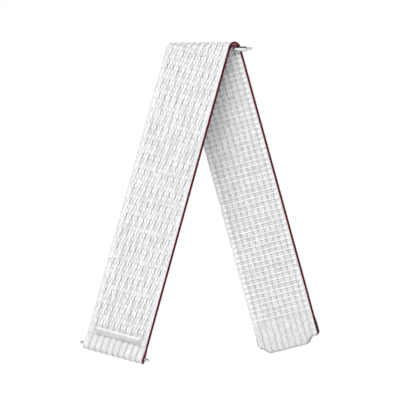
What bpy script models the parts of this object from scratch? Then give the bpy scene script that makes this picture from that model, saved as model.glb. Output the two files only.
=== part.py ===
"""Nylon watch strap, folded over its upper spring bar, as separate pieces.

Units are metres and +Z is up. The fold's bar runs along X through the origin. The
front leg hangs down towards -Y and -X, and the tail hangs down towards +Y and +X.

A point of the band is given by three distances: s along the band from the top of
the fold, positive on the tail; u across the band, positive towards +X; and n from
the middle of the band's thickness, positive on the outer side. The band is wound
askew round the bar by the splay angle, so t is the same length measured square to
the bar. Where t passes the end of the fold, the legs run straight.
"""

import math

import bmesh
import bpy
from mathutils import Matrix, Vector

# Band, in metres and radians
band_width = 0.0200
band_thickness = 0.0014
front_length = 0.0987
tail_length = 0.0964
splay = math.radians(13.45)
front_lean = math.radians(7.75)
tail_lean = math.radians(7.75)
edge_width = 0.0004
edge_clearance = 0.0001
section_clearance = 0.0001

# Fold over the upper bar, whose radii follow the bar's
fold_clearance = 0.0001
crown_radius_share = 3.2
side_radius_share = 0.8
crown_angle = math.radians(38.0)
fold_steps = 24

# Spring bars
tube_radius = 0.00075
tube_wall = 0.00015
tube_recess = 0.0001
lip_height = 0.00005
lip_length = 0.0003
mouth_length = 0.0006
pin_radius = 0.0004
pin_clearance = 0.00004
pin_reach = 0.00175
pin_chamfer = 0.0001
head_length = 0.0012
head_clearance = 0.00004
wire_radius = 0.00008
wire_clearance = 0.00005
spring_turns = 14
points_per_turn = 8
upper_bar_shift = 0.0042
bar_sides = 16

# Sleeve round the lower bar
sleeve_clearance = 0.00008
sleeve_wall = 0.0006
sleeve_taper = 0.0034
sleeve_steps = 14
bore_sides = 24
cut_overrun = 0.001

# Welded keeper bar above the sleeve
keeper_side_gap = 0.0025
keeper_width = 0.0022
keeper_height = 0.0006
keeper_rounding = 0.00025
keeper_offset = 0.00015
keeper_seat = 0.00005

# Tab at the tail's end, with its hook patch
tab_height = 0.0017
shoulder_width = 0.0024
tab_flare = 0.0015
tab_steps = 5
corner_radius = 0.0013
corner_steps = 4
patch_length = 0.0130
patch_thickness = 0.0009
patch_inset = 0.0001
patch_seat = 0.00005

# Sizes that follow from those above
half_band = band_thickness / 2
half_width = band_width / 2
cloth_half_width = half_width - edge_width - edge_clearance
crown_radius = crown_radius_share * tube_radius + half_band
side_radius = side_radius_share * tube_radius + half_band
crown_height = tube_radius + fold_clearance + half_band
crown_arc = crown_radius * crown_angle
tube_length = band_width - 2 * tube_recess
tube_bore = tube_radius - tube_wall
bore_radius = tube_radius + lip_height + sleeve_clearance
sleeve_radius = bore_radius + sleeve_wall
lower_bar_s = sleeve_radius - front_length
keeper_length = band_width - 2 * keeper_side_gap
tab_root_half_width = half_width - shoulder_width

# Colours as linear red, green and blue, with roughness and metallic values
finishes = {
    "white_nylon": ((0.80, 0.80, 0.80), 0.85, 0.0),
    "red_yarn": ((0.12, 0.012, 0.020), 0.75, 0.0),
    "hook_tape": ((0.030, 0.012, 0.014), 0.80, 0.0),
    "welded_nylon": ((0.72, 0.72, 0.72), 0.45, 0.0),
    "steel": ((0.60, 0.60, 0.62), 0.25, 1.0),
    "spring_steel": ((0.45, 0.45, 0.46), 0.35, 1.0),
}


def clear_scene():
    """Remove whatever the scene holds."""
    for thing in list(bpy.data.objects):
        bpy.data.objects.remove(thing, do_unlink=True)


def finish(name):
    """Return the named material, made at its first use."""
    material = bpy.data.materials.get(name)
    if material is None:
        colour, roughness, metallic = finishes[name]
        material = bpy.data.materials.new(name)
        material.use_nodes = True
        shader = material.node_tree.nodes["Principled BSDF"]
        shader.inputs["Base Color"].default_value = (*colour, 1.0)
        shader.inputs["Roughness"].default_value = roughness
        shader.inputs["Metallic"].default_value = metallic
    return material


def add_object(name, data, material, parent=None):
    """Link new object data to the scene under its node name."""
    thing = bpy.data.objects.new(name, data)
    bpy.context.collection.objects.link(thing)
    thing.parent = parent
    if material:
        data.materials.append(finish(material))
    return thing


def add_empty(name, place):
    """Add an empty that carries the pieces of one moving body."""
    empty = add_object(name, None, None)
    empty.matrix_world = place
    bpy.context.view_layer.update()
    return empty


def mesh_from(name, work):
    """Turn a closed bmesh into a mesh with its faces pointing out."""
    bmesh.ops.recalc_face_normals(work, faces=work.faces)
    mesh = bpy.data.meshes.new(name)
    work.to_mesh(mesh)
    work.free()
    return mesh


def lofted(name, rings):
    """Join rings of equal count into one closed mesh with flat ends."""
    work = bmesh.new()
    rows = [[work.verts.new(point) for point in ring] for ring in rings]
    for row, following in zip(rows, rows[1:]):
        for index in range(len(row)):
            other = (index + 1) % len(row)
            work.faces.new((row[index], row[other], following[other], following[index]))
    work.faces.new(rows[0])
    work.faces.new(rows[-1])
    return mesh_from(name, work)


def turned(name, outline, closed):
    """Turn an outline of x and radius round the X axis. A closed one makes a ring."""
    work = bmesh.new()
    rows = []
    for x, radius in outline:
        if radius == 0:
            rows.append([work.verts.new((x, 0, 0))] * bar_sides)
            continue
        angles = [2 * math.pi * step / bar_sides for step in range(bar_sides)]
        rows.append([work.verts.new((x, radius * math.cos(a), radius * math.sin(a))) for a in angles])
    pairs = list(zip(rows, rows[1:])) + ([(rows[-1], rows[0])] if closed else [])
    for row, following in pairs:
        for index in range(bar_sides):
            other = (index + 1) % bar_sides
            corners = (row[index], row[other], following[other], following[index])
            work.faces.new(list(dict.fromkeys(corners)))
    mesh = mesh_from(name, work)
    mesh.shade_smooth()
    mesh.set_sharp_from_angle(angle=math.radians(35))
    return mesh


def fold_end(lean):
    """Return t where the fold ends and the leg with this lean starts."""
    return crown_arc + side_radius * (math.pi / 2 - lean - crown_angle)


def section(t, lean):
    """Return how far out and up the band's middle is at t, and its tilt."""
    if t <= crown_arc:
        tilt = t / crown_radius
        out = crown_radius * math.sin(tilt)
        up = crown_height - crown_radius * (1 - math.cos(tilt))
        return out, up, tilt
    run = min(t, fold_end(lean))
    tilt = crown_angle + (run - crown_arc) / side_radius
    out = crown_radius * math.sin(crown_angle) + side_radius * (math.sin(tilt) - math.sin(crown_angle))
    up = crown_height - crown_radius * (1 - math.cos(crown_angle))
    up -= side_radius * (math.cos(crown_angle) - math.cos(tilt))
    rest = t - run
    return out + rest * math.cos(tilt), up - rest * math.sin(tilt), tilt


def band_point(s, u, n):
    """Return the place in the scene of a point of the band."""
    t = s * math.cos(splay) - u * math.sin(splay)
    x = s * math.sin(splay) + u * math.cos(splay)
    side, lean = (1, tail_lean) if t >= 0 else (-1, front_lean)
    out, up, tilt = section(abs(t), lean)
    return Vector((x, side * (out + n * math.sin(tilt)), up + n * math.cos(tilt)))


def along(t, u):
    """Return s of the point at u whose length square to the bar is t."""
    return (t + u * math.sin(splay)) / math.cos(splay)


def sleeve_profile(s_top):
    """Return the front leg's outline as s and n, from its inner top to its outer top."""
    distance = math.hypot(sleeve_taper, half_band)
    start = math.atan2(half_band, sleeve_taper) + math.acos(sleeve_radius / distance)
    turn = 2 * (math.pi - start)
    angles = [start + turn * step / sleeve_steps for step in range(sleeve_steps + 1)]
    round_end = [
        (lower_bar_s + sleeve_radius * math.cos(a), -sleeve_radius * math.sin(a)) for a in angles
    ]
    flat = lower_bar_s + sleeve_taper
    return [(s_top, -half_band), (flat, -half_band), *round_end, (flat, half_band), (s_top, half_band)]


def bore_cutter():
    """Add the cutter for the lower bar's bore. It is no part of the strap."""
    ends = (-half_width - cut_overrun, half_width + cut_overrun)
    angles = [2 * math.pi * step / bore_sides for step in range(bore_sides)]
    circle = [(lower_bar_s + bore_radius * math.cos(a), bore_radius * math.sin(a)) for a in angles]
    rings = [[band_point(s, u, n) for s, n in circle] for u in ends]
    cutter = add_object("bore_cutter", lofted("bore_cutter", rings), None)
    cutter.hide_render = True
    cutter.display_type = "WIRE"
    return cutter


def front_leg(name, material, u_low, u_high, cutter):
    """Add one strip of the front leg, with its share of the sleeve and bore."""
    rings = []
    for u in (u_low, u_high):
        s_top = along(-fold_end(front_lean) - section_clearance, u)
        rings.append([band_point(s, u, n) for s, n in sleeve_profile(s_top)])
    strip = add_object(name, lofted(name, rings), material)
    bore = strip.modifiers.new("bore", "BOOLEAN")
    bore.operation = "DIFFERENCE"
    bore.solver = "EXACT"
    bore.object = cutter


def fold_strip(name, material, u_low, u_high, parent):
    """Add one strip of the band where it lies over the upper bar."""
    first, last = -fold_end(front_lean), fold_end(tail_lean)
    corners = ((u_low, -half_band), (u_high, -half_band), (u_high, half_band), (u_low, half_band))
    rings = []
    for step in range(fold_steps + 1):
        t = first + (last - first) * step / fold_steps
        rings.append([band_point(along(t, u), u, n) for u, n in corners])
    add_object(name, lofted(name, rings), material, parent)


def tab_outline(side_width, last):
    """Return the tail end's outline as s and u, from its left corner to its right one."""
    shoulder = last - tab_height
    left = []
    for step in range(corner_steps + 1):
        angle = math.pi / 2 * step / corner_steps
        s = shoulder - corner_radius * (1 - math.sin(angle))
        left.append((s, -side_width + corner_radius * (1 - math.cos(angle))))
    for step in range(tab_steps + 1):
        share = step / tab_steps
        rise = share * share * (3 - 2 * share)
        left.append((shoulder + tab_height * rise, tab_flare * share - tab_root_half_width))
    return left + [(s, -u) for s, u in reversed(left)]


def flat_plate(name, material, outline, n_low, n_high, parent):
    """Add a plate that lies along the band, with an outline in s and u."""
    rings = [[band_point(s, u, n) for s, u in outline] for n in (n_low, n_high)]
    return add_object(name, lofted(name, rings), material, parent)


def tail_leg(parent):
    """Add the tail of the band with its tab, and the edge yarn on both its sides."""
    t_top = fold_end(tail_lean) + section_clearance
    outline = [(along(t_top, -cloth_half_width), -cloth_half_width)]
    outline += tab_outline(cloth_half_width, tail_length)
    outline += [(along(t_top, cloth_half_width), cloth_half_width)]
    flat_plate("band_tail", "white_nylon", outline, -half_band, half_band, parent)
    s_last = tail_length - tab_height - corner_radius
    for side, (u_low, u_high) in edge_bands().items():
        corners = [(along(t_top, u_low), u_low), (s_last, u_low)]
        corners += [(s_last, u_high), (along(t_top, u_high), u_high)]
        flat_plate("edge_tail_" + side, "red_yarn", corners, -half_band, half_band, parent)


def edge_bands():
    """Return the lowest and highest u of the edge yarn on each side."""
    inner = half_width - edge_width
    return {"left": (-half_width, -inner), "right": (inner, half_width)}


def hook_patch(parent):
    """Add the hook patch on the outer face of the tail's end."""
    width = half_width - patch_inset
    s_top = tail_length - patch_length
    outline = [(s_top, -width), *tab_outline(width, tail_length - patch_inset), (s_top, width)]
    n_low = half_band + patch_seat
    flat_plate("hook_patch", "hook_tape", outline, n_low, n_low + patch_thickness, parent)


def keeper_bar():
    """Add the welded bar that closes the sleeve, on the front leg's outer face."""
    s_low = lower_bar_s + sleeve_taper + keeper_offset
    s_high = s_low + keeper_width
    half = keeper_length / 2
    outline = [(s_low, -half), (s_low, half), (s_high, half), (s_high, -half)]
    n_low = half_band + keeper_seat
    keeper = flat_plate("keeper_bar", "welded_nylon", outline, n_low, n_low + keeper_height, None)
    rounding = keeper.modifiers.new("rounding", "BEVEL")
    rounding.width = keeper_rounding
    rounding.segments = 2
    rounding.limit_method = "ANGLE"


def front_pieces():
    """Add the front leg and its edge yarn, the fold, and the keeper bar."""
    cutter = bore_cutter()
    front_leg("band_main", "white_nylon", -cloth_half_width, cloth_half_width, cutter)
    fold_strip("band_fold", "white_nylon", -cloth_half_width, cloth_half_width, None)
    for side, (u_low, u_high) in edge_bands().items():
        front_leg("edge_main_" + side, "red_yarn", u_low, u_high, cutter)
        fold_strip("edge_fold_" + side, "red_yarn", u_low, u_high, None)
    keeper_bar()


def bar_tube(name, parent):
    """Add a spring bar's tube, whose rolled mouths hold the pins in."""
    half = tube_length / 2
    lip = tube_radius + lip_height
    mouth = pin_radius + pin_clearance
    outer = [(-half, lip), (-half + lip_length, lip), (-half + lip_length + lip_height, tube_radius)]
    inner = [(-half + mouth_length, tube_bore), (-half + mouth_length, mouth), (-half, mouth)]
    right_outer = [(-x, radius) for x, radius in reversed(outer)]
    right_inner = [(-x, radius) for x, radius in reversed(inner)]
    outline = outer + right_outer + right_inner + inner
    add_object(name, turned(name, outline, True), "steel", parent)


def bar_pin(name, parent, side):
    """Add one sprung pin, with its tip outside the tube and its head inside."""
    tip = tube_length / 2 + pin_reach
    seat = tube_length / 2 - mouth_length - head_clearance
    head_radius = tube_bore - head_clearance
    outline = [
        (tip, 0),
        (tip, pin_radius - pin_chamfer),
        (tip - pin_chamfer, pin_radius),
        (seat, pin_radius),
        (seat, head_radius),
        (seat - head_length, head_radius),
        (seat - head_length, 0),
    ]
    outline = [(side * x, radius) for x, radius in outline]
    add_object(name, turned(name, outline, False), "steel", parent)


def bar_spring(name, parent):
    """Add the coil spring between a bar's two pins, as one round wire."""
    head_end = tube_length / 2 - mouth_length - head_clearance - head_length
    reach = head_end - wire_clearance - wire_radius
    radius = tube_bore - wire_clearance - wire_radius
    count = spring_turns * points_per_turn
    curve = bpy.data.curves.new(name, "CURVE")
    curve.dimensions = "3D"
    curve.bevel_depth = wire_radius
    curve.bevel_resolution = 1
    curve.use_fill_caps = True
    spline = curve.splines.new("POLY")
    spline.points.add(count)
    for step, point in enumerate(spline.points):
        angle = 2 * math.pi * step / points_per_turn
        x = reach * (2 * step / count - 1)
        point.co = (x, radius * math.cos(angle), radius * math.sin(angle), 1.0)
    add_object(name, curve, "spring_steel", parent)


def spring_bar(prefix, place):
    """Add one spring bar, carried by an empty on its axis."""
    carrier = add_empty(prefix, place)
    bar_tube(prefix + "_tube", carrier)
    bar_spring(prefix + "_spring", carrier)
    bar_pin(prefix + "_pin_left", carrier, -1)
    bar_pin(prefix + "_pin_right", carrier, 1)


def lower_bar_place():
    """Return the lower bar's place, with local X across the front leg."""
    centre = band_point(lower_bar_s, 0, 0)
    across = (band_point(lower_bar_s, half_width, 0) - centre).normalized()
    outward = (band_point(lower_bar_s, 0, half_band) - centre).normalized()
    upward = across.cross(outward).normalized()
    turn = Matrix((across, outward, upward)).transposed()
    return Matrix.Translation(centre) @ turn.to_4x4()


def main():
    """Build the whole strap."""
    clear_scene()
    front_pieces()
    tail = add_empty("tail", Matrix.Identity(4))
    tail_leg(tail)
    hook_patch(tail)
    spring_bar("upper_bar", Matrix.Translation((upper_bar_shift, 0, 0)))
    spring_bar("lower_bar", lower_bar_place())


main()
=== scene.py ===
"""Looks of a nylon watch strap that hangs folded over its upper spring bar.

The cloth is made as it is woven, lying flat, and is then laid over the bar. A flat
point has three numbers, in millimetres: across the band, along it from the top of
the fold (positive on the tail), and out from the middle of its thickness (positive
on the braided face). FoldedBand.place() turns flat points into places in the scene.
"""

import logging
import math
from collections.abc import Sequence
from dataclasses import dataclass, replace
from enum import Enum
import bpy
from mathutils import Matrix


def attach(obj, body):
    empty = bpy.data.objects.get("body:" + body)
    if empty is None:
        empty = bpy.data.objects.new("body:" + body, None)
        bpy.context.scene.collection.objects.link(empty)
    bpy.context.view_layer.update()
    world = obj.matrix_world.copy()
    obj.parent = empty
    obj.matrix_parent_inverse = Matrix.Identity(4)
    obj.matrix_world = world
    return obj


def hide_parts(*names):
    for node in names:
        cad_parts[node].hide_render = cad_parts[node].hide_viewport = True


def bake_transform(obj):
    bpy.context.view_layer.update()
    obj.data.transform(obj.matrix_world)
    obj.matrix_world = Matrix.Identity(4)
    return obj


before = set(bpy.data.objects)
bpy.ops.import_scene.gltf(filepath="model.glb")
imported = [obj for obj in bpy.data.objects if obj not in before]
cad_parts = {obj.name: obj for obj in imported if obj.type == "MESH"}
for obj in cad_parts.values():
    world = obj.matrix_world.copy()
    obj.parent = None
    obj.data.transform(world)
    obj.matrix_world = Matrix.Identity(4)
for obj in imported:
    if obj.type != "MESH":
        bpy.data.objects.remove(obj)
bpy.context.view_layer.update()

from types import SimpleNamespace

import bpy
import numpy as np
from mathutils import Vector

MILLIMETRE = 0.001
FULL_TURN = 2 * math.pi

MATH, VECTOR_MATH, MIX = "ShaderNodeMath", "ShaderNodeVectorMath", "ShaderNodeMix"
NOISE, MAP_RANGE, ATTRIBUTE = "ShaderNodeTexNoise", "ShaderNodeMapRange", "ShaderNodeAttribute"
COMBINE, SEPARATE = "ShaderNodeCombineXYZ", "ShaderNodeSeparateXYZ"
STORE = "GeometryNodeStoreNamedAttribute"
SOCKETS = {
    bpy.types.Object: "NodeSocketObject",
    bpy.types.Material: "NodeSocketMaterial",
    int: "NodeSocketInt",
    float: "NodeSocketFloat",
}
Term = bpy.types.Node | bpy.types.NodeSocket | float
Triple = tuple[float, float, float]
Faces = list[tuple[int, ...]]

log = logging.getLogger("strap")


class Side(Enum):
    """The band's two long sides, with the sign of their place across it."""

    LEFT = -1
    RIGHT = 1


class Face(Enum):
    """The band's two faces, with the sign of their place out of it."""

    OUTER = 1
    INNER = -1


# Small helpers


def linear(hex_colour: str) -> tuple[float, float, float, float]:
    """Turn an sRGB hex colour into linear red, green, blue and an alpha of one.

    Args:
        hex_colour: Six hex digits after a hash.

    Returns:
        The colour as Blender's sockets hold it.
    """
    shares = [int(hex_colour[i : i + 2], 16) / 255 for i in (1, 3, 5)]
    red, green, blue = (
        c / 12.92 if c <= 0.04045 else ((c + 0.055) / 1.055) ** 2.4 for c in shares
    )
    return red, green, blue, 1.0


def add(
    tree: bpy.types.NodeTree, kind: str, inputs: Sequence | dict = (), **settings: object
) -> bpy.types.Node:
    """Add a node with its settings and links.

    Args:
        tree: The tree that gets the node.
        kind: Blender's name for the kind of node.
        inputs: The inputs' values, in order, or by name or number. A socket is linked, and
            so is a node, by the first of its outputs that is in use.
        **settings: The node's own properties.

    Returns:
        The new node.
    """
    node = tree.nodes.new(kind)
    for name, value in settings.items():
        setattr(node, name, value)
    for key, value in inputs.items() if isinstance(inputs, dict) else enumerate(inputs):
        if isinstance(value, bpy.types.Node):
            value = next(output for output in value.outputs if output.enabled)
        if isinstance(value, bpy.types.NodeSocket):
            tree.links.new(value, node.inputs[key])
        else:
            node.inputs[key].default_value = value
    return node


def smooth_step(values: np.ndarray, start: float, end: float) -> np.ndarray:
    """Return shares that rise smoothly from 0 at start to 1 at end."""
    share = np.clip((values - start) / (end - start), 0.0, 1.0)
    return share * share * (3 - 2 * share)


def between(first: np.ndarray | float, second: np.ndarray | float, share: np.ndarray) -> np.ndarray:
    """Return numbers that are a share of the way from the first to the second."""
    return first * (1 - share) + second * share


def make_object(
    name: str, points: np.ndarray, faces: Faces, material: bpy.types.Material | None
) -> bpy.types.Object:
    """Make a smooth mesh object and link it to the scene.

    Args:
        name: The piece's name.
        points: One row of three numbers for each point.
        faces: The point numbers of each face, with the outside on their left.
        material: The finish, or None for a pattern that is only copied.

    Returns:
        The object, at the origin.
    """
    mesh = bpy.data.meshes.new(name)
    mesh.from_pydata([tuple(map(float, p)) for p in points], [], [tuple(map(int, f)) for f in faces])
    mesh.validate()
    mesh.shade_smooth()
    if material:
        mesh.materials.append(material)
    piece = bpy.data.objects.new(name, mesh)
    bpy.context.scene.collection.objects.link(piece)
    return piece


def store(piece: bpy.types.Object, name: str, values: np.ndarray) -> None:
    """Store one number or one vector for each point of a mesh.

    Args:
        piece: The mesh object.
        name: The attribute's name, which a finish reads.
        values: One number or one row of three for each point.
    """
    vector = values.ndim == 2
    attribute = piece.data.attributes.new(name, "FLOAT_VECTOR" if vector else "FLOAT", "POINT")
    attribute.data.foreach_set("vector" if vector else "value", values.astype(np.float32).ravel())


def read_points(piece: bpy.types.Object) -> np.ndarray:
    """Return a mesh object's points.

    Args:
        piece: The mesh object.

    Returns:
        One row of three numbers for each point.
    """
    points = np.zeros(len(piece.data.vertices) * 3, np.float32)
    piece.data.vertices.foreach_get("co", points)
    return points.reshape(-1, 3).astype(float)


def write_points(piece: bpy.types.Object, points: np.ndarray) -> None:
    """Move a mesh object's points."""
    piece.data.vertices.foreach_set("co", points.astype(np.float32).ravel())
    piece.data.update()


def ring_faces(rows: int, around: int) -> Faces:
    """Return the faces of an open tube.

    Args:
        rows: How many rings of points it has.
        around: How many points each ring has.

    Returns:
        The faces between each ring and the next.
    """
    faces = []
    for low in range(0, (rows - 1) * around, around):
        for step in range(around):
            following = (step + 1) % around
            faces.append((low + step, low + following, low + around + following, low + around + step))
    return faces


def tube_faces(rows: int, around: int) -> Faces:
    """Return the faces of a closed tube of rings of points, with flat ends."""
    ends = [tuple(reversed(range(around))), tuple(range((rows - 1) * around, rows * around))]
    return ring_faces(rows, around) + ends


def cap_faces(first: int, count: int, around: int) -> Faces:
    """Return the faces that close one end of a flat tube, from its one side to its other.

    Args:
        first: The number of the end's first point.
        count: How many points each side has.
        around: How many points the two sides have together.

    Returns:
        One face for each step along the sides.
    """
    low = first + around - 1
    return [(first + n, first + n + 1, low - n - 1, low - n) for n in range(count - 1)]


def flipped(faces: Faces) -> Faces:
    """Return faces that look the other way."""
    return [tuple(reversed(face)) for face in faces]


def report(piece: bpy.types.Object) -> None:
    """Write a finished piece's size to the log."""
    triangles = sum(len(face.vertices) - 2 for face in piece.data.polygons)
    log.info("%s: %d triangles", piece.name, triangles)


# The band's path


@dataclass(frozen=True)
class FoldedBand:
    """How the band lies over the upper bar. Sizes are in millimetres, angles in degrees."""

    half_width: float = 10.0
    half_thickness: float = 0.7
    tail_length: float = 96.4
    splay: float = 13.45
    lean: float = 7.75
    crown_radius: float = 3.1
    side_radius: float = 1.3
    crown_angle: float = 38.0
    crown_height: float = 1.55
    lower_bar_place: float = -97.22
    bar_clearance: float = 0.78
    bend_reach: float = 2.4

    def section(self, length: np.ndarray) -> tuple[np.ndarray, np.ndarray, np.ndarray]:
        """Return how far out and up the band's middle is, and its tilt.

        Args:
            length: Distance from the top of the fold, square to the bar.

        Returns:
            Out, up and tilt, one of each for each length.
        """
        crown, lean = math.radians(self.crown_angle), math.radians(self.lean)
        crown_length = self.crown_radius * crown
        end = crown_length + self.side_radius * (math.pi / 2 - lean - crown)
        run = np.minimum(length, end)
        top_tilt = np.minimum(run, crown_length) / self.crown_radius
        side_tilt = crown + np.maximum(run - crown_length, 0) / self.side_radius
        out = self.crown_radius * np.sin(top_tilt)
        out += self.side_radius * (np.sin(side_tilt) - math.sin(crown))
        up = self.crown_height - self.crown_radius * (1 - np.cos(top_tilt))
        up -= self.side_radius * (math.cos(crown) - np.cos(side_tilt))
        tilt = np.where(run > crown_length, side_tilt, top_tilt)
        rest = length - run
        return out + rest * np.cos(tilt), up - rest * np.sin(tilt), tilt

    def place(self, flat: np.ndarray) -> np.ndarray:
        """Turn flat points into places. The bar presses the yarns near it out of its way.

        Args:
            flat: Flat points, in millimetres.

        Returns:
            Their places in the scene, in metres.
        """
        across, along, out_of = flat.T
        splay = math.radians(self.splay)
        length = along * math.cos(splay) - across * math.sin(splay)
        x = along * math.sin(splay) + across * math.cos(splay)
        side = np.where(length >= 0, 1.0, -1.0)
        out, up, tilt = self.section(np.abs(length))
        y = side * (out + out_of * np.sin(tilt))
        z = up + out_of * np.cos(tilt)
        away = np.maximum(1.0, self.bar_clearance / np.maximum(np.hypot(y, z), 0.01))
        return np.stack([x, y * away, z * away], axis=1) * MILLIMETRE

    def hang(self, piece: bpy.types.Object, slot: str, body: str | None = None) -> None:
        """Lay a flat piece over the bar, and say what it moves with.

        Cloth bends only where it lies on the bar, so that both legs keep their thickness.

        Args:
            piece: The flat piece.
            slot: The record's name for what it is made of. It is not used.
            body: The body that it rides on, or None for cloth that bends at the fold.
        """
        write_points(piece, self.place(read_points(piece)))
        if body:
            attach(piece, body)
        else:
            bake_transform(piece)
        report(piece)


# Finishes


@dataclass(frozen=True, kw_only=True)
class Finish:
    """What all finishes have: two colours to wander between, and a relief that catches light."""

    name: str
    light: str
    dark: str
    roughness: float
    bump: float
    relief_mm: float = 0.05

    def start(self, **values: object) -> tuple[bpy.types.Material, bpy.types.NodeTree]:
        """Start a material, with plain values on the shader's own sockets.

        Args:
            **values: The value of each further socket, by its name with _ for a space.

        Returns:
            The material and its tree.
        """
        material = bpy.data.materials.new(self.name)
        material.use_nodes = True
        tree = material.node_tree
        for word, value in {"Roughness": self.roughness, **values}.items():
            tree.nodes["Principled BSDF"].inputs[word.replace("_", " ")].default_value = value
        return material, tree

    def end(self, tree: bpy.types.NodeTree, share: Term, height: Term, painted_highlight: tuple | None = None) -> None:
        """Link the colour and the relief to the shader.

        Args:
            tree: The material's tree.
            share: How light each place is, from 0 to 1.
            height: The height of each place.
            painted_highlight: How much painted highlight a place has, and the highlight's colour.
        """
        shader = tree.nodes["Principled BSDF"]
        tones = {"Factor": share, "A": linear(self.dark), "B": linear(self.light)}
        colour = add(tree, MIX, tones, data_type="RGBA")
        if painted_highlight:
            tones = {"Factor": painted_highlight[0], "A": colour, "B": linear(painted_highlight[1])}
            colour = add(tree, MIX, tones, data_type="RGBA")
        depth = {"Height": height, "Strength": self.bump, "Distance": self.relief_mm * MILLIMETRE}
        relief = add(tree, "ShaderNodeBump", depth)
        tree.links.new(colour.outputs["Result"], shader.inputs["Base Color"])
        tree.links.new(relief.outputs["Normal"], shader.inputs["Normal"])


@dataclass(frozen=True, kw_only=True)
class NylonYarn(Finish):
    """Filament yarn, textured, woven and steamed: matt, with a soft sheen and fine streaks.

    The filaments run along each yarn. They are drawn about three times as coarse as real
    ones, which are too fine to show.
    """

    roughness: float = 0.6
    specular: float = 0.5
    sheen: float = 0.15
    sheen_roughness: float = 0.4
    filaments_per_mm: float = 9.0
    filament_length: float = 12.0
    twist: float = 0.35
    bump: float = 0.8
    # Painted highlight: the paler colour that a piece's highlight share mixes in.
    highlight_colour: str = "#FCFCFC"

    def build(self) -> bpy.types.Material:
        """Build the finish.

        Returns:
            The material. It reads the pieces' strand, tone and painted highlight share.
        """
        sheen = {"Sheen_Weight": self.sheen, "Sheen_Roughness": self.sheen_roughness}
        material, tree = self.start(Specular_IOR_Level=self.specular, **sheen)
        strand = add(tree, ATTRIBUTE, attribute_name="strand").outputs["Vector"]
        tone = add(tree, ATTRIBUTE, attribute_name="tone").outputs["Fac"]
        pulled = add(tree, ATTRIBUTE, attribute_name="pulled").outputs["Fac"]
        laid = add(tree, "ShaderNodeMapping", {"Vector": strand, "Rotation": (0.0, 0.0, self.twist)})
        stretch = (self.filaments_per_mm, self.filaments_per_mm / self.filament_length, 1.0)
        drawn = add(tree, VECTOR_MATH, (laid, stretch), operation="MULTIPLY")
        grain = add(tree, NOISE, {"Vector": drawn, "Scale": 1.0, "Detail": 3.0, "Roughness": 0.6})
        streak = add(tree, MAP_RANGE, {"Value": grain, "From Min": 0.35, "From Max": 0.6, "To Min": 0.7})
        share = add(tree, MATH, (streak, tone), operation="MULTIPLY")
        self.end(tree, share, grain, (pulled, self.highlight_colour))
        return material


@dataclass(frozen=True, kw_only=True)
class GroundWeave(Finish):
    """Plain weave, heat-set: crossing threads under a fine fuzz, with shade painted grey down in its grooves.

    The threads are drawn at the spacing of the ribs and floats, because single ones are too
    fine to show.
    """

    roughness: float = 0.65
    sheen: float = 0.1
    threads_mm: tuple[float, float] = (1.0, 1.555)
    fuzz_stretch: Triple = (1.5, 0.8, 1.0)
    fuzz_per_mm: float = 1.1
    thread_share: float = 0.4
    bump: float = 0.8
    relief_mm: float = 0.06

    def build(self) -> bpy.types.Material:
        """Build the finish.

        Returns:
            The material. It reads the pieces' strand and tone.
        """
        material, tree = self.start(Sheen_Weight=self.sheen)
        strand = add(tree, ATTRIBUTE, attribute_name="strand").outputs["Vector"]
        tone = add(tree, ATTRIBUTE, attribute_name="tone").outputs["Fac"]
        waves =(FULL_TURN / self.threads_mm[0], FULL_TURN / self.threads_mm[1], 0.0)
        scaled = add(tree, VECTOR_MATH, (strand, waves), operation="MULTIPLY")
        parts = add(tree, SEPARATE, (scaled,)).outputs
        warp, weft = (add(tree, MATH, (parts[axis],), operation="SINE") for axis in (0, 1))
        crossing = add(tree, MATH, (warp, weft), operation="MULTIPLY")
        drawn = add(tree, VECTOR_MATH, (strand, self.fuzz_stretch), operation="MULTIPLY")
        scale = {"Vector": drawn, "Scale": self.fuzz_per_mm, "Detail": 4.0, "Roughness": 0.75}
        fuzz = {"Value": add(tree, NOISE, scale), "From Min": 0.36, "From Max": 0.64, "To Min": -1.0}
        height = (crossing, self.thread_share, add(tree, MAP_RANGE, fuzz))
        height = add(tree, MATH, height, operation="MULTIPLY_ADD")
        mottle = {"Value": height, "From Min": -1.3, "From Max": 1.0, "To Min": 0.42}
        share = add(tree, MATH, (tone, add(tree, MAP_RANGE, mottle)), operation="MULTIPLY")
        self.end(tree, share, height)
        return material


@dataclass(frozen=True, kw_only=True)
class MouldedNylon(Finish):
    """Nylon melted and pressed under a hot tool: smooth, satin, faintly cloudy."""

    roughness: float = 0.42
    cloud_mm: float = 1.6
    cloud_share: float = 0.6
    bump: float = 0.12

    def build(self) -> bpy.types.Material:
        """Build the finish.

        Returns:
            The material. It reads the piece's tone.
        """
        material, tree = self.start()
        place = add(tree, "ShaderNodeTexCoord").outputs["Object"]
        scale = {"Vector": place, "Scale": 1 / (self.cloud_mm * MILLIMETRE), "Detail": 3.0}
        clouds = add(tree, NOISE, scale)
        tone = add(tree, ATTRIBUTE, attribute_name="tone").outputs["Fac"]
        share = add(tree, MATH, (clouds, self.cloud_share, tone), operation="MULTIPLY_ADD")
        self.end(tree, share, clouds)
        return material


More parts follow.
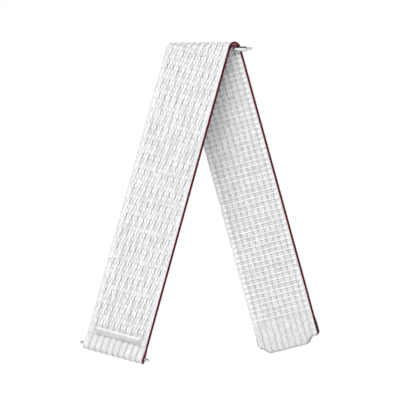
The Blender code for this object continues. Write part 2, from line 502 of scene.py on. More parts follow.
@dataclass(frozen=True, kw_only=True)
class TurnedSteel(Finish):
    """Steel shaped on a lathe or drawn: bright, with fine lines round the bar's axis.

    The lines are drawn about three times as far apart as real ones, which are too fine to show.
    """

    edge: str = "#B4B4B8"
    roughness: float = 0.1
    line_mm: float = 0.12
    line_length: float = 40.0
    bump: float = 0.1
    relief_mm: float = 0.01

    def build(self, turn: Sequence[float]) -> bpy.types.Material:
        """Build the finish.

        Args:
            turn: Angles that turn the bar's axis onto X, so that the lines run round it.

        Returns:
            The material.
        """
        material, tree = self.start(Metallic=1.0, Specular_Tint=linear(self.edge))
        place = add(tree, "ShaderNodeTexCoord").outputs["Object"]
        turned = add(tree, "ShaderNodeMapping", {"Vector": place, "Rotation": turn})
        lines = 1 / (self.line_mm * MILLIMETRE)
        stretch = (lines, lines / self.line_length, lines / self.line_length)
        drawn = add(tree, VECTOR_MATH, (turned, stretch), operation="MULTIPLY")
        rings = add(tree, NOISE, {"Vector": drawn, "Scale": 1.0, "Detail": 2.0})
        self.end(tree, rings, rings)
        return material


# Nylon yarn, bulked and left undyed: a soft white, with shade painted grey where it lies down in the grooves
# and windows.
WHITE_YARN = NylonYarn(name="nylon_filament_yarn", light="#FCFCFC", dark="#D0D0D3")
# Polyester yarn, dyed before it was whipped on: deep red without gloss, with a pale pink highlight painted
# where it turns over the fold's crown.
RED_YARN = NylonYarn(
    name="burgundy_polyester_yarn", light="#780C20", dark="#550715", roughness=0.7,
    specular=0.1, sheen=0.0, highlight_colour="#B98F97",
)
# Hook tape, woven of dyed nylon with its loops cut to hooks: brownish black, dry and rough.
HOOK_YARN = NylonYarn(name="black_hook_tape", light="#33161B", dark="#1E0D10", roughness=0.5, sheen=0.05)
# Ground cloth, woven and heat-set: white like the yarns, with a faint mottle of threads, and shade painted
# grey in its grooves, on its rims and at its cut end.
GROUND = GroundWeave(name="nylon_ground_weave", light="#F6F6F7", dark="#A4A4A8")
# Nylon band welded flat: off-white and satin, with a soft highlight painted along its upper edge and a
# fainter one along its lower edge.
WELDED = MouldedNylon(name="welded_nylon", light="#FAFAFA", dark="#A8A8AC")
# Stainless steel, turned and polished: near white, with a sharp dark line where it mirrors the dark.
STEEL = TurnedSteel(name="turned_stainless_steel", light="#FAFAFC", dark="#EAEAEE")
# Spring steel, drawn through a die: greyer and duller than the turned parts.
SPRING_STEEL = TurnedSteel(name="drawn_spring_steel", light="#BEBEC2", dark="#A6A6AA", roughness=0.3)


# Geometry Nodes


class Loom:
    """One Geometry Nodes tree that repeats a yarn, and the plain mesh that it gives."""

    def __init__(self, name: str, **inputs: object) -> None:
        """Start a tree.

        Args:
            name: The tree's and the piece's name.
            **inputs: Each named input with its value: a number, an object or a material.
        """
        self.name = name
        self.tree = bpy.data.node_groups.new(name, "GeometryNodeTree")
        face = self.tree.interface
        face.new_socket("Geometry", in_out="OUTPUT", socket_type="NodeSocketGeometry")
        self.values = {}
        for word, value in inputs.items():
            label = word.replace("_", " ").title()
            item = face.new_socket(label, in_out="INPUT", socket_type=SOCKETS[type(value)])
            self.values[item.identifier] = value
        self.given = SimpleNamespace(**dict(zip(inputs, add(self.tree, "NodeGroupInput").outputs)))

    def work(self, start: Term, *steps: tuple) -> Term:
        """Take a number through some steps.

        Args:
            start: The number.
            *steps: For each step, its operation and the other numbers that it takes.

        Returns:
            The last step's result.
        """
        for operation, *others in steps:
            start = add(self.tree, MATH, (start, *others), operation=operation)
        return start

    def draw(self, *ranges: tuple[int, float, float]) -> list[bpy.types.Node]:
        """Draw random numbers, the same at each run.

        Args:
            *ranges: For each, what it adds to the seed, its lowest and its highest value.

        Returns:
            One node for each range.
        """
        drawn = []
        for number, low, high in ranges:
            seed = self.work(self.given.seed, ("ADD", float(number)))
            inputs = {2: low, 3: high, "Seed": seed}
            drawn.append(add(self.tree, "FunctionNodeRandomValue", inputs, data_type="FLOAT"))
        return drawn

    def groove(self, across: Term, width: Term) -> tuple[Term, Term]:
        """Work out how deep a place is in the grooves between ribs.

        Args:
            across: The place across the band.
            width: The grooves' half width.

        Returns:
            The share of the full depth, and the distance from the nearest groove's middle.
        """
        pitch = self.given.rib_pitch
        moved = self.work(across, ("SUBTRACT", self.given.groove_place))
        nearest = self.work(moved, ("DIVIDE", pitch), ("ROUND",), ("MULTIPLY", pitch))
        distance = self.work(moved, ("SUBTRACT", nearest))
        share = self.work(distance, ("DIVIDE", width))
        return self.work(share, ("MULTIPLY", share), ("MULTIPLY", -1.0), ("EXPONENT",)), distance

    def repeat(self, points: Term, copy: Term, rotation: Term, scale: Term, tone: Term) -> bpy.types.Node:
        """Set a yarn on every point, and make one mesh of the copies.

        Args:
            points: The points.
            copy: The yarn.
            rotation: The yarn's turn at each point.
            scale: Its size at each point.
            tone: How light it is, from 0 to 1.

        Returns:
            The node that gives the mesh.
        """
        toned = {"Geometry": points, "Name": "tone", "Value": tone}
        toned = add(self.tree, STORE, toned, data_type="FLOAT", domain="POINT")
        copies = {"Points": toned, "Instance": copy, "Rotation": rotation, "Scale": scale}
        copies = add(self.tree, "GeometryNodeInstanceOnPoints", copies)
        return add(self.tree, "GeometryNodeRealizeInstances", {"Geometry": copies})

    def age(self, geometry: Term) -> bpy.types.Node:
        """Let the yarns wander a little, and make their tone uneven, as in cloth that has seen wear.

        Args:
            geometry: The yarns.

        Returns:
            The node that gives the yarns, moved and unevenly toned.
        """
        tree, given, slow_per_mm, fine_per_mm = self.tree, self.given, 0.3, 0.9
        position = add(tree, "GeometryNodeInputPosition")
        slow = {"Vector": position, "Scale": slow_per_mm, "Detail": 1.0}
        slow = add(tree, NOISE, slow).outputs["Color"]
        shift = add(tree, VECTOR_MATH, (slow, (0.5, 0.5, 0.5)), operation="SUBTRACT")
        reach = add(tree, COMBINE, (given.wander, given.wander))
        offset = add(tree, VECTOR_MATH, (shift, reach), operation="MULTIPLY")
        moved = add(tree, "GeometryNodeSetPosition", {"Geometry": geometry, "Offset": offset})
        fine = add(tree, NOISE, {"Vector": position, "Scale": fine_per_mm, "Detail": 2.0})
        change = self.work(fine, ("SUBTRACT", 0.5), ("MULTIPLY", given.uneven))
        tone = add(tree, "GeometryNodeInputNamedAttribute", {"Name": "tone"}, data_type="FLOAT")
        toned = {"Geometry": moved, "Name": "tone", "Value": self.work(tone, ("ADD", change))}
        return add(tree, STORE, toned, data_type="FLOAT", domain="POINT")

    def weave(self, geometry: Term) -> bpy.types.Object:
        """End the tree and run it.

        Args:
            geometry: The yarns.

        Returns:
            A plain mesh object.
        """
        dressed = {"Geometry": geometry, "Material": self.given.material}
        dressed = add(self.tree, "GeometryNodeSetMaterial", dressed)
        add(self.tree, "NodeGroupOutput", {"Geometry": dressed})
        piece = bpy.data.objects.new(self.name, bpy.data.meshes.new(self.name))
        bpy.context.scene.collection.objects.link(piece)
        modifier = piece.modifiers.new("weave", "NODES")
        modifier.node_group = self.tree
        for identifier, value in self.values.items():
            modifier[identifier] = value
        ready = piece.evaluated_get(bpy.context.evaluated_depsgraph_get())
        mesh = bpy.data.meshes.new_from_object(ready)
        piece.modifiers.remove(modifier)
        piece.data = mesh
        mesh.name = self.name
        mesh.shade_smooth()
        return piece


def sizes_of(owner: object, *names: str) -> dict[str, object]:
    """Return some of a sub-assembly's sizes, by name."""
    return {name: getattr(owner, name) for name in names}


def row_span(owner: object) -> dict[str, object]:
    """Count the rows that fit between a sub-assembly's first and last row.

    Args:
        owner: The sub-assembly, with its rows' pitch and phase.

    Returns:
        How many rows there are, and the number of the first.
    """
    first = math.ceil((owner.first_row - owner.row_phase) / owner.row_pitch)
    last = math.floor((owner.last_row - owner.row_phase) / owner.row_pitch)
    return {"rows": last - first + 1, "first_row": float(first)}


def both_ways(reaches: Sequence[float]) -> list[tuple[int, float, float]]:
    """Return numbered ranges that reach as far to both sides of zero."""
    return [(number, -reach, reach) for number, reach in enumerate(reaches, 1)]


# Cloth


@dataclass(frozen=True, kw_only=True)
class FaceRelief:
    """How the ground lies on one face. Lengths are in millimetres, tones from 0 to 1."""

    start: float
    end: float
    shift: float
    open_level: float
    border_level: float
    groove_depth: float
    groove_width: float
    groove_shade: float
    open_tone: float


# The open ground, seen between the floats, is toned a little darker, partly for its thinner yarn and partly
# as painted shade; groove_shade paints shade in the grooves.
RELIEFS = {
    Face.OUTER: FaceRelief(
        start=-91.3, end=83.2, shift=-0.06, open_level=0.40, border_level=0.46,
        groove_depth=0.26, groove_width=0.34, groove_shade=0.50, open_tone=0.80,
    ),
    Face.INNER: FaceRelief(
        start=-91.2, end=86.6, shift=0.0, open_level=0.40, border_level=0.52,
        groove_depth=0.12, groove_width=0.42, groove_shade=0.30, open_tone=0.82,
    ),
}


@dataclass
class GroundCloth:
    """The woven ground of the band, with its ribs, soft rims and the tab at its end.

    All lengths are in millimetres. Open cloth carries the braid and the ladder, and
    pressed cloth is bare, at both ends.
    """

    band: FoldedBand
    rib_pitch: float = 2.0
    last_groove: float = 8.0
    first_row: float = -94.5
    row_step: float = 0.78
    fold_reach: float = 5.6
    fold_step: float = 0.2
    tab_zone: float = 89.0
    tab_height: float = 1.85
    tab_half_width: float = 8.7
    tab_flare: float = 2.6
    tab_shift: float = -0.6
    corner_radius: float = 1.0
    half_width: float = 9.95
    border_edges: tuple[float, float] = (8.4, 8.7)
    rim_edges: tuple[float, float] = (9.4, 9.65)
    open_fade: float = 0.3
    close_fade: float = 0.5
    rim_start: float = 9.75
    rim_level: float = 0.63
    rim_drop: float = 0.09
    rim_shade: float = 0.35
    pressed_level: float = 0.60
    pressed_depth: float = 0.20
    pressed_width: float = 0.25
    pressed_tone: float = 0.95
    pressed_shade: float = 0.5
    edge_groove: float = 9.92
    edge_half_height: float = 0.5
    edge_tone: float = 0.5
    groove_steps: tuple[float, ...] = (0.0, 0.14, 0.28, 0.45, 0.7, 0.87, 1.0)
    selvedge_columns: tuple[float, ...] = (8.6, 9.2, 9.4, 9.55, 9.75, 9.88, 9.95)
    tab_shares: tuple[float, ...] = (0, 0.15, 0.3, 0.45, 0.6, 0.75, 0.88, 0.95, 0.98, 1.0)
    thinning: tuple[float, ...] = (0.95, 0.9, 0.8, 0.6)
    # Painted shade at the cut end: the last rows' shares, and where and how much the tab's slanted sides
    # darken.
    end_row_shades: tuple[float, ...] = (0.7, 0.2, 0.0)
    slant_shade_edges: tuple[float, ...] = (6.0, 6.8, 8.5, 9.0)
    slant_shade: float = 0.9

    def columns(self) -> np.ndarray:
        """Return the places of the mesh's columns, closer together in the grooves."""
        grooves = range(0, int(self.last_groove) + 1, int(self.rib_pitch))
        places = {round(g + sign * s, 3) for g in grooves for s in self.groove_steps for sign in (-1, 1)}
        right = sorted(place for place in places | set(self.selvedge_columns) if place >= 0)
        return np.array([-place for place in reversed(right) if place > 0] + right)

    def end_of(self, across: np.ndarray) -> np.ndarray:
        """Return how far along each column reaches, round the tab's outline.

        Args:
            across: Places across the band.

        Returns:
            The cloth's end at each place.
        """
        shoulder = self.band.tail_length - self.tab_height
        narrow = -np.abs(across - self.tab_shift)
        rise = smooth_step(narrow, -self.tab_half_width, self.tab_flare - self.tab_half_width)
        turn = np.clip((np.abs(across) - self.band.half_width) / self.corner_radius + 1, 0, 1)
        return shoulder + self.tab_height * rise - self.corner_radius * (1 - np.sqrt(1 - turn**2))

    def rows(self) -> np.ndarray:
        """Return the rows' places up to the tab, closer together in the fold."""
        edges = (self.first_row, -self.fold_reach, self.fold_reach, self.tab_zone)
        steps = (self.row_step, self.fold_step, self.row_step)
        return np.concatenate([np.arange(*part) for part in zip(edges, edges[1:], steps)])

    def grooves(self, across: np.ndarray, width: float) -> np.ndarray:
        """Return each place's share of the grooves' depth.

        Args:
            across: Places across the band.
            width: The grooves' half width.

        Returns:
            The shares, from 0 to 1.
        """
        nearest = np.round(across / self.rib_pitch) * self.rib_pitch
        depth = np.exp(-(((across - nearest) / width) ** 2))
        return depth * (np.abs(across) < self.last_groove + self.rib_pitch / 2)

    def levels(self, across: np.ndarray, along: np.ndarray, face: Face) -> tuple[np.ndarray, np.ndarray]:
        """Return the ground's height on one face, and its tone.

        Args:
            across: Places across the band.
            along: Places along the band.
            face: The face.

        Returns:
            The height out of the band's middle, and the tone from 0, dark, to 1, light.
        """
        relief, size = RELIEFS[face], np.abs(across)
        border, rim = (smooth_step(size, *edges) for edges in (self.border_edges, self.rim_edges))
        inside = smooth_step(along, relief.start - self.open_fade, relief.start)
        inside = inside * (1 - smooth_step(along, relief.end, relief.end + self.close_fade))
        groove = self.grooves(across - relief.shift, relief.groove_width)
        groove = between(self.grooves(across, self.pressed_width), groove, inside)
        level = between(relief.open_level, relief.border_level, border)
        level = between(self.pressed_level, between(level, self.rim_level, rim), inside)
        level = level - between(self.pressed_depth, relief.groove_depth, inside) * groove
        turn = np.clip((size - self.rim_start) / (self.half_width - self.rim_start), 0, 1)
        level = level - self.rim_drop * (1 - np.sqrt(1 - turn**2))
        # Painted shade: the tone falls in the grooves and where the rims roll away.
        open_tone = between(relief.open_tone, self.pressed_tone, border) - relief.groove_shade * groove
        tone = between(self.pressed_tone - self.pressed_shade * groove, open_tone, inside)
        return level * face.value, np.clip(tone - self.rim_shade * turn, 0, 1)

    def end_shade(self, across: np.ndarray, rows: int) -> np.ndarray:
        """Return how light the rows are near the hot-cut end, where shade is painted.

        Args:
            across: The columns' places across the band.
            rows: How many rows there are.

        Returns:
            A share for each point: painted shade, darkest at the very end and along the tab's slanted sides.
        """
        size = np.abs(across - self.tab_shift)
        rise, top, fall, foot = self.slant_shade_edges
        slanted = smooth_step(size, rise, top) * (1 - smooth_step(size, fall, foot))
        shares = np.ones((rows, len(across)))
        shares[-len(self.end_row_shades) :] = np.array(self.end_row_shades)[:, None]
        shares[-len(self.end_row_shades) : -1] *= 1 - self.slant_shade * slanted
        return shares

    def build(self, material: bpy.types.Material) -> bpy.types.Object:
        """Build the ground as one closed piece that stands for the band's three nodes.

        Args:
            material: Its finish.

        Returns:
            The piece.
        """
        columns, straight = self.columns(), self.rows()
        count = len(columns)
        tab_length = self.end_of(columns)[None, :] - self.tab_zone
        tab = self.tab_zone + np.array(self.tab_shares)[:, None] * tab_length
        along = np.concatenate([np.repeat(straight[:, None], count, 1), tab])
        across = np.repeat(columns[None, :], len(along), 0)
        outer, outer_tone = self.levels(across, along, Face.OUTER)
        inner, inner_tone = self.levels(across, along, Face.INNER)
        thickness = np.ones(len(along))
        thickness[-len(self.thinning) :] = self.thinning
        # Painted shade along the cut end and the tab's slanted sides.
        end_shade = self.end_shade(columns, len(along))
        outer_tone, inner_tone = outer_tone * end_shade, inner_tone * end_shade
        loops, tones = [], []
        for row, thick in enumerate(thickness):
            upper = np.stack([columns, along[row], outer[row] * thick], 1)
            lower = np.stack([columns, along[row], inner[row] * thick], 1)[::-1]
            inset = self.edge_half_height * thick
            right = [(self.edge_groove, along[row, -1], side * inset) for side in (1, -1)]
            left = [(-self.edge_groove, along[row, 0], side * inset) for side in (-1, 1)]
            loops.append(np.concatenate([upper, right, lower, left]))
            side_tone = [self.edge_tone * end_shade[row, 0]] * 2
            tones += [outer_tone[row], side_tone, inner_tone[row][::-1], side_tone]
        points, around, rows = np.concatenate(loops), len(loops[0]), len(loops)
        faces = ring_faces(rows, around) + self.end_faces(around, 0, count)
        faces += flipped(self.end_faces(around, (rows - 1) * around, count))
        piece = make_object("band_ground", points, faces, material)
        store(piece, "strand", points)
        store(piece, "tone", np.concatenate(tones))
        self.band.hang(piece, "white_nylon")
        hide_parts("band_main", "band_fold", "band_tail")
        return piece

    @staticmethod
    def end_faces(around: int, first: int, count: int) -> Faces:
        """Return the faces that close one end of the ground, between its two faces.

        Args:
            around: How many points a row has.
            first: The number of the row's first point.
            count: How many columns each face has.

        Returns:
            The faces, with the two at the grooves in the edges last.
        """
        beyond, last = first + count, first + around - 1
        faces = cap_faces(first, count, around - 2)
        faces.append((beyond - 1, beyond, beyond + 1, last - 1 - count))
        return faces + [(first, last - 2, last - 1, last)]


@dataclass
class YarnField:
    """Rows of short yarn floats on one face, each of which dives into the ground at its ends.

    All lengths are in millimetres. Each further row from the sleeve is shifted across, and
    the floats that come to lie in a groove between two ribs sink into it and roll.
    """

    name: str
    band: FoldedBand
    face: Face
    row_pitch: float
    row_phase: float
    first_row: float
    last_row: float
    per_rib: int
    spread: float
    centre: float
    row_shift: float
    half_length: float
    float_half_width: float
    float_height: float
    level: float
    groove_depth: float
    groove_width: float
    half_width: float = 9.48
    rib_pitch: float = 2.0
    groove_place: float = 0.0
    pull: float = 0.0
    yaw: float = 0.0
    roll_share: float = 0.7
    groove_growth: float = 0.3
    groove_shade: float = 0.5
    root_depth: float = 0.10
    crown_power: float = 0.7
    side_power: float = 2.6
    strand_stretch: float = 1.3
    stations: tuple[float, ...] = (-0.84, -0.5, 0.0, 0.5, 0.84)
    scatter: tuple[float, ...] = (0.045, 0.07, 0.025, 0.11, 0.05)
    sizes: tuple[float, float] = (0.88, 1.06)
    lengths: tuple[float, float] = (0.90, 1.08)
    tones: tuple[float, float] = (0.5, 1.1)
    wander: float = 0.16
    uneven: float = 0.6
    around: int = 8
    seed: int = 3

    def pattern(self) -> bpy.types.Object:
        """Make one float of yarn, lying along the band.

        Returns:
            The pattern that the tree copies.
        """
        points, strand = [(0.0, -self.half_length, -self.root_depth)], [(0.0, -self.half_length, 0.0)]
        for share in self.stations:
            top = self.float_height * (1 - share**2) ** self.crown_power
            half_width = self.float_half_width * math.sqrt(1 - abs(share) ** self.side_power)
            middle, half_height = (top - self.root_depth) / 2, (top + self.root_depth) / 2
            for step in range(self.around):
                angle = FULL_TURN * step / self.around - math.pi / 2
                x = half_width * math.cos(angle)
                points.append((x, share * self.half_length, middle + half_height * math.sin(angle)))
                strand.append((x * self.strand_stretch, share * self.half_length, 0.0))
        points.append((0.0, self.half_length, -self.root_depth))
        strand.append((0.0, self.half_length, 0.0))
        last = len(points) - 1
        ring = last - self.around
        faces = [tuple(1 + n for n in f) for f in ring_faces(len(self.stations), self.around)]
        for step in range(self.around):
            following = (step + 1) % self.around
            faces += [(0, 1 + following, 1 + step), (last, ring + step, ring + following)]
        pattern = make_object(self.name + "_pattern", np.array(points), flipped(faces), None)
        store(pattern, "strand", np.array(strand))
        return pattern

    def build(self, material: bpy.types.Material) -> bpy.types.Object:
        """Build all the floats as one piece.

        Args:
            material: Their finish.

        Returns:
            The piece.
        """
        pattern, sign = self.pattern(), float(self.face.value)
        ribs = 2 * math.ceil(self.half_width / self.rib_pitch) + 2
        numbers = "row_pitch row_phase row_shift per_rib rib_pitch spread centre pull half_width level"
        numbers += " groove_place groove_depth groove_width wander uneven seed"
        sizes = {**row_span(self), **sizes_of(self, *numbers.split())}
        loom = Loom(self.name, ribs=ribs, yarn=pattern, material=material, **sizes)
        tree, given, work = loom.tree, loom.given, loom.work
        others = (6, *self.sizes), (7, *self.lengths), (9, *self.tones)
        aside, ahead, outward, yaw, tilt, size, length, tone = loom.draw(*both_ways(self.scatter), *others)
        index = add(tree, "GeometryNodeInputIndex")
        columns = work(given.ribs, ("MULTIPLY", given.per_rib))
        row = work(index, ("DIVIDE", columns), ("FLOOR",), ("ADD", given.first_row))
        column = work(index, ("FLOORED_MODULO", columns))
        half_ribs = work(given.ribs, ("MULTIPLY", 0.5))
        rib = work(column, ("DIVIDE", given.per_rib), ("FLOOR",), ("SUBTRACT", half_ribs))
        rib = work(rib, ("MULTIPLY", given.rib_pitch))
        middle = work(given.per_rib, ("SUBTRACT", 1.0), ("MULTIPLY", 0.5))
        side = work(column, ("FLOORED_MODULO", given.per_rib), ("SUBTRACT", middle))
        side = work(side, ("MULTIPLY", given.spread))
        start = work(row, ("MULTIPLY", given.row_shift), ("ADD", given.centre))
        across = work(start, ("FLOORED_MODULO", given.rib_pitch), ("ADD", rib), ("ADD", side))
        wave = work(across, ("MULTIPLY", math.pi), ("SINE",), ("MULTIPLY", given.pull))
        across = work(across, ("ADD", wave), ("ADD", aside))
        along = work(row, ("MULTIPLY", given.row_pitch), ("ADD", given.row_phase), ("ADD", ahead))
        depth, _ = loom.groove(across, given.groove_width)
        sunk = work(depth, ("MULTIPLY", given.groove_depth))
        height = work(given.level, ("SUBTRACT", sunk), ("ADD", outward), ("MULTIPLY", sign))
        place = {"Count": work(given.rows, ("MULTIPLY", columns))}
        place["Position"] = add(tree, COMBINE, (across, along, height))
        points = add(tree, "GeometryNodePoints", place)
        x = add(tree, SEPARATE, (add(tree, "GeometryNodeInputPosition"),))
        beyond = work(x, ("ABSOLUTE",), ("GREATER_THAN", given.half_width))
        chosen = {"Geometry": points, "Selection": beyond}
        kept = add(tree, "GeometryNodeDeleteGeometry", chosen, domain="POINT")
        depth, distance = loom.groove(x, given.groove_width)
        width_squared = work(given.groove_width, ("POWER", 2.0))
        slope = work(depth, ("MULTIPLY", distance), ("MULTIPLY", given.groove_depth))
        roll = work(slope, ("DIVIDE", width_squared), ("MULTIPLY", -2.0 * sign * self.roll_share))
        roll = work(roll, ("ADD", math.pi if self.face is Face.INNER else 0.0))
        rotation = add(tree, COMBINE, (tilt, roll, work(yaw, ("ADD", self.yaw))))
        wide = work(depth, ("MULTIPLY", self.groove_growth), ("ADD", 1.0), ("MULTIPLY", size))
        scale = add(tree, COMBINE, (wide, length, size))
        # Painted shade: floats that lie down in a groove are toned darker.
        tone = work(tone, ("SUBTRACT", work(depth, ("MULTIPLY", self.groove_shade))))
        source = add(tree, "GeometryNodeObjectInfo", {"Object": given.yarn}).outputs["Geometry"]
        piece = loom.weave(loom.age(loom.repeat(kept, source, rotation, scale, tone)))
        bpy.data.objects.remove(pattern)
        self.band.hang(piece, "white_nylon")
        return piece


def braided_face(band: FoldedBand) -> YarnField:
    """Plan the braid on the outer face: two floats to a rib, stepped row by row.

    Args:
        band: The band that it covers.

    Returns:
        The field of floats.
    """
    return YarnField(
        "braid_floats", band, Face.OUTER,
        row_pitch=1.555, row_phase=-1.11, first_row=-90.9, last_row=82.6, row_shift=1 / 3,
        per_rib=2, spread=0.95, centre=0.97, half_length=0.90, float_half_width=0.42, float_height=0.30,
        level=0.40, groove_place=-0.06, groove_depth=0.22, groove_width=0.40, pull=0.05, yaw=-0.02,
    )


def ladder_warps(band: FoldedBand, first_cord: float, cord_pitch: float) -> list[YarnField]:
    """Plan the warps on the inner face: two to a rib, then three, by turns.

    Args:
        band: The band that they cover.
        first_cord: The place of a cross cord along the band.
        cord_pitch: The distance from each cross cord to the next.

    Returns:
        The fields of floats: the pairs, one between each two pairs, and the threes.
    """
    phase = first_cord + 0.79
    # The warps show in the windows between the cords, and their low random tones paint the shade there; the
    # betweens, down in the grooves, are painted darkest.
    pairs = YarnField(
        "ladder_warp_pairs", band, Face.INNER,
        row_pitch=2 * cord_pitch, row_phase=phase, first_row=-90.6, last_row=86.0, row_shift=0.0,
        per_rib=2, spread=0.64, centre=1.0, half_length=0.76, float_half_width=0.23, float_height=0.14,
        level=0.43, groove_depth=0.12, groove_width=0.42, half_width=8.6, tones=(0.3, 0.9), around=6,
        seed=21,
    )
    between_pairs = {"per_rib": 1, "spread": 0.0, "centre": 0.04, "float_half_width": 0.26, "level": 0.40}
    betweens = replace(
        pairs, name="ladder_warp_betweens", groove_depth=0.10, tones=(0.1, 0.6), seed=23, **between_pairs
    )
    in_threes = {"per_rib": 3, "spread": 0.52, "float_half_width": 0.28, "groove_depth": 0.10}
    threes = replace(pairs, name="ladder_warp_threes", row_phase=phase + cord_pitch, seed=22, **in_threes)
    return [pairs, betweens, threes]


@dataclass
class LadderCords:
    """Every second cross cord on the inner face, with round loops at both borders.

    All lengths are in millimetres. A cord dips over each groove, is notched in the middle
    of each rib, and sinks into the cloth near the tab.
    """

    name: str
    band: FoldedBand
    row_phase: float
    row_pitch: float
    notch: float
    seed: int
    first_row: float = -90.8
    last_row: float = 86.6
    half_length: float = 9.48
    radius: float = 0.33
    loop_radius: float = 0.58
    loop_place: float = 9.0
    loop_width: float = 0.38
    flatness: float = 0.62
    dip: float = 0.09
    dip_width: float = 0.46
    dip_end: float = 8.5
    dip_thinning: float = 0.5
    dip_shade: float = 4.0
    tone: float = 0.8
    loop_light: float = 0.3
    notch_width: float = 0.17
    level: float = 0.51
    sinking: float = 0.09
    sinking_start: float = 80.0
    rib_pitch: float = 2.0
    groove_place: float = 0.0
    stations: int = 95
    around: int = 7
    wander: float = 0.2
    uneven: float = 1.4
    scatter: tuple[float, ...] = (0.03, 0.01, 0.03, 0.003)
    heights: tuple[float, float] = (0.94, 1.06)

    def cord(self, loom: Loom) -> bpy.types.Node:
        """Add the nodes of one cord that lies across the band.

        Args:
            loom: The tree.

        Returns:
            The node that gives the cord's mesh.
        """
        tree, given, work = loom.tree, loom.given, loom.work
        start = add(tree, COMBINE, (work(given.half_length, ("MULTIPLY", -1.0)),))
        ends = {"Start": start, "End": add(tree, COMBINE, (given.half_length,))}
        line = {"Curve": add(tree, "GeometryNodeCurvePrimitiveLine", ends), "Count": given.stations}
        finer = add(tree, "GeometryNodeResampleCurve", line)
        x = add(tree, SEPARATE, (add(tree, "GeometryNodeInputPosition"),))
        size = work(x, ("ABSOLUTE",))
        inside = work(size, ("LESS_THAN", self.dip_end))
        groove, _ = loom.groove(x, given.dip_width)
        half_pitch = work(given.rib_pitch, ("MULTIPLY", 0.5))
        notch, _ = loom.groove(work(x, ("ADD", half_pitch)), given.notch_width)
        notch = work(notch, ("MULTIPLY", given.notch))
        low = work(groove, ("MULTIPLY", given.dip), ("ADD", notch), ("MULTIPLY", inside))
        away = work(size, ("SUBTRACT", given.loop_place), ("DIVIDE", given.loop_width))
        bulge = work(away, ("MULTIPLY", away), ("MULTIPLY", -1.0), ("EXPONENT",))
        grown = work(given.loop_radius, ("SUBTRACT", given.radius), ("MULTIPLY", bulge))
        thinner = work(low, ("MULTIPLY", self.dip_thinning))
        radius = work(given.radius, ("SUBTRACT", thinner), ("ADD", grown))
        lowered = {"Geometry": finer, "Offset": add(tree, COMBINE, (0.0, 0.0, low))}
        # Painted shade where the cord dips over a groove or a notch; the loops at the borders are toned
        # lighter.
        tone = work(low, ("MULTIPLY_ADD", -self.dip_shade, self.tone))
        tone = work(bulge, ("MULTIPLY_ADD", self.loop_light, tone))
        toned = {"Geometry": add(tree, "GeometryNodeSetPosition", lowered), "Name": "tone", "Value": tone}
        toned = add(tree, STORE, toned, data_type="FLOAT", domain="POINT")
        thick = add(tree, "GeometryNodeSetCurveRadius", {"Curve": toned, "Radius": radius})
        ring = {"Resolution": self.around, "Radius": 1.0}
        profile = add(tree, "GeometryNodeCurvePrimitiveCircle", ring, mode="RADIUS")
        swept = {"Curve": thick, "Profile Curve": profile, "Fill Caps": True}
        cord = add(tree, "GeometryNodeCurveToMesh", swept)
        if "Scale" in cord.inputs:  # Newer nodes take the thickness from here instead.
            tree.links.new(radius.outputs[0], cord.inputs["Scale"])
        parts = add(tree, SEPARATE, (add(tree, "GeometryNodeInputPosition"),)).outputs
        strand = add(tree, COMBINE, (parts[1], parts[0], parts[2]))
        marked = {"Geometry": cord, "Name": "strand", "Value": strand}
        marked = add(tree, STORE, marked, data_type="FLOAT_VECTOR", domain="POINT")
        flat = add(tree, COMBINE, (parts[0], parts[1], work(parts[2], ("MULTIPLY", given.flatness))))
        return add(tree, "GeometryNodeSetPosition", {"Geometry": marked, "Position": flat})

    def build(self, material: bpy.types.Material) -> bpy.types.Object:
        """Build the cords as one piece.

        Args:
            material: Their finish.

        Returns:
            The piece.
        """
        numbers = "row_pitch row_phase half_length radius loop_radius loop_place loop_width flatness dip"
        numbers += " dip_width notch notch_width level sinking rib_pitch groove_place stations wander"
        sizes = {**row_span(self), **sizes_of(self, *numbers.split(), "uneven", "seed")}
        loom = Loom(self.name, material=material, **sizes)
        tree, given, work = loom.tree, loom.given, loom.work
        ahead, outward, aside, yaw, height = loom.draw(*both_ways(self.scatter), (5, *self.heights))
        row = work(add(tree, "GeometryNodeInputIndex"), ("ADD", given.first_row))
        along = work(row, ("MULTIPLY", given.row_pitch), ("ADD", given.row_phase), ("ADD", ahead))
        sunk = {"From Min": self.sinking_start, "From Max": self.last_row, "To Min": 0.0}
        sunk = add(tree, MAP_RANGE, {"Value": along, "To Max": given.sinking, **sunk})
        out_of = work(given.level, ("SUBTRACT", sunk), ("ADD", outward), ("MULTIPLY", -1.0))
        place = {"Count": given.rows, "Position": add(tree, COMBINE, (aside, along, out_of))}
        copies = {
            "Points": add(tree, "GeometryNodePoints", place),
            "Instance": self.cord(loom),
            "Rotation": add(tree, COMBINE, (0.0, 0.0, yaw)),
            "Scale": add(tree, COMBINE, (1.0, height, 1.0)),
        }
        copies = add(tree, "GeometryNodeInstanceOnPoints", copies)
        joined = add(tree, "GeometryNodeRealizeInstances", {"Geometry": copies})
        piece = loom.weave(loom.age(joined))
        self.band.hang(piece, "white_nylon")
        return piece


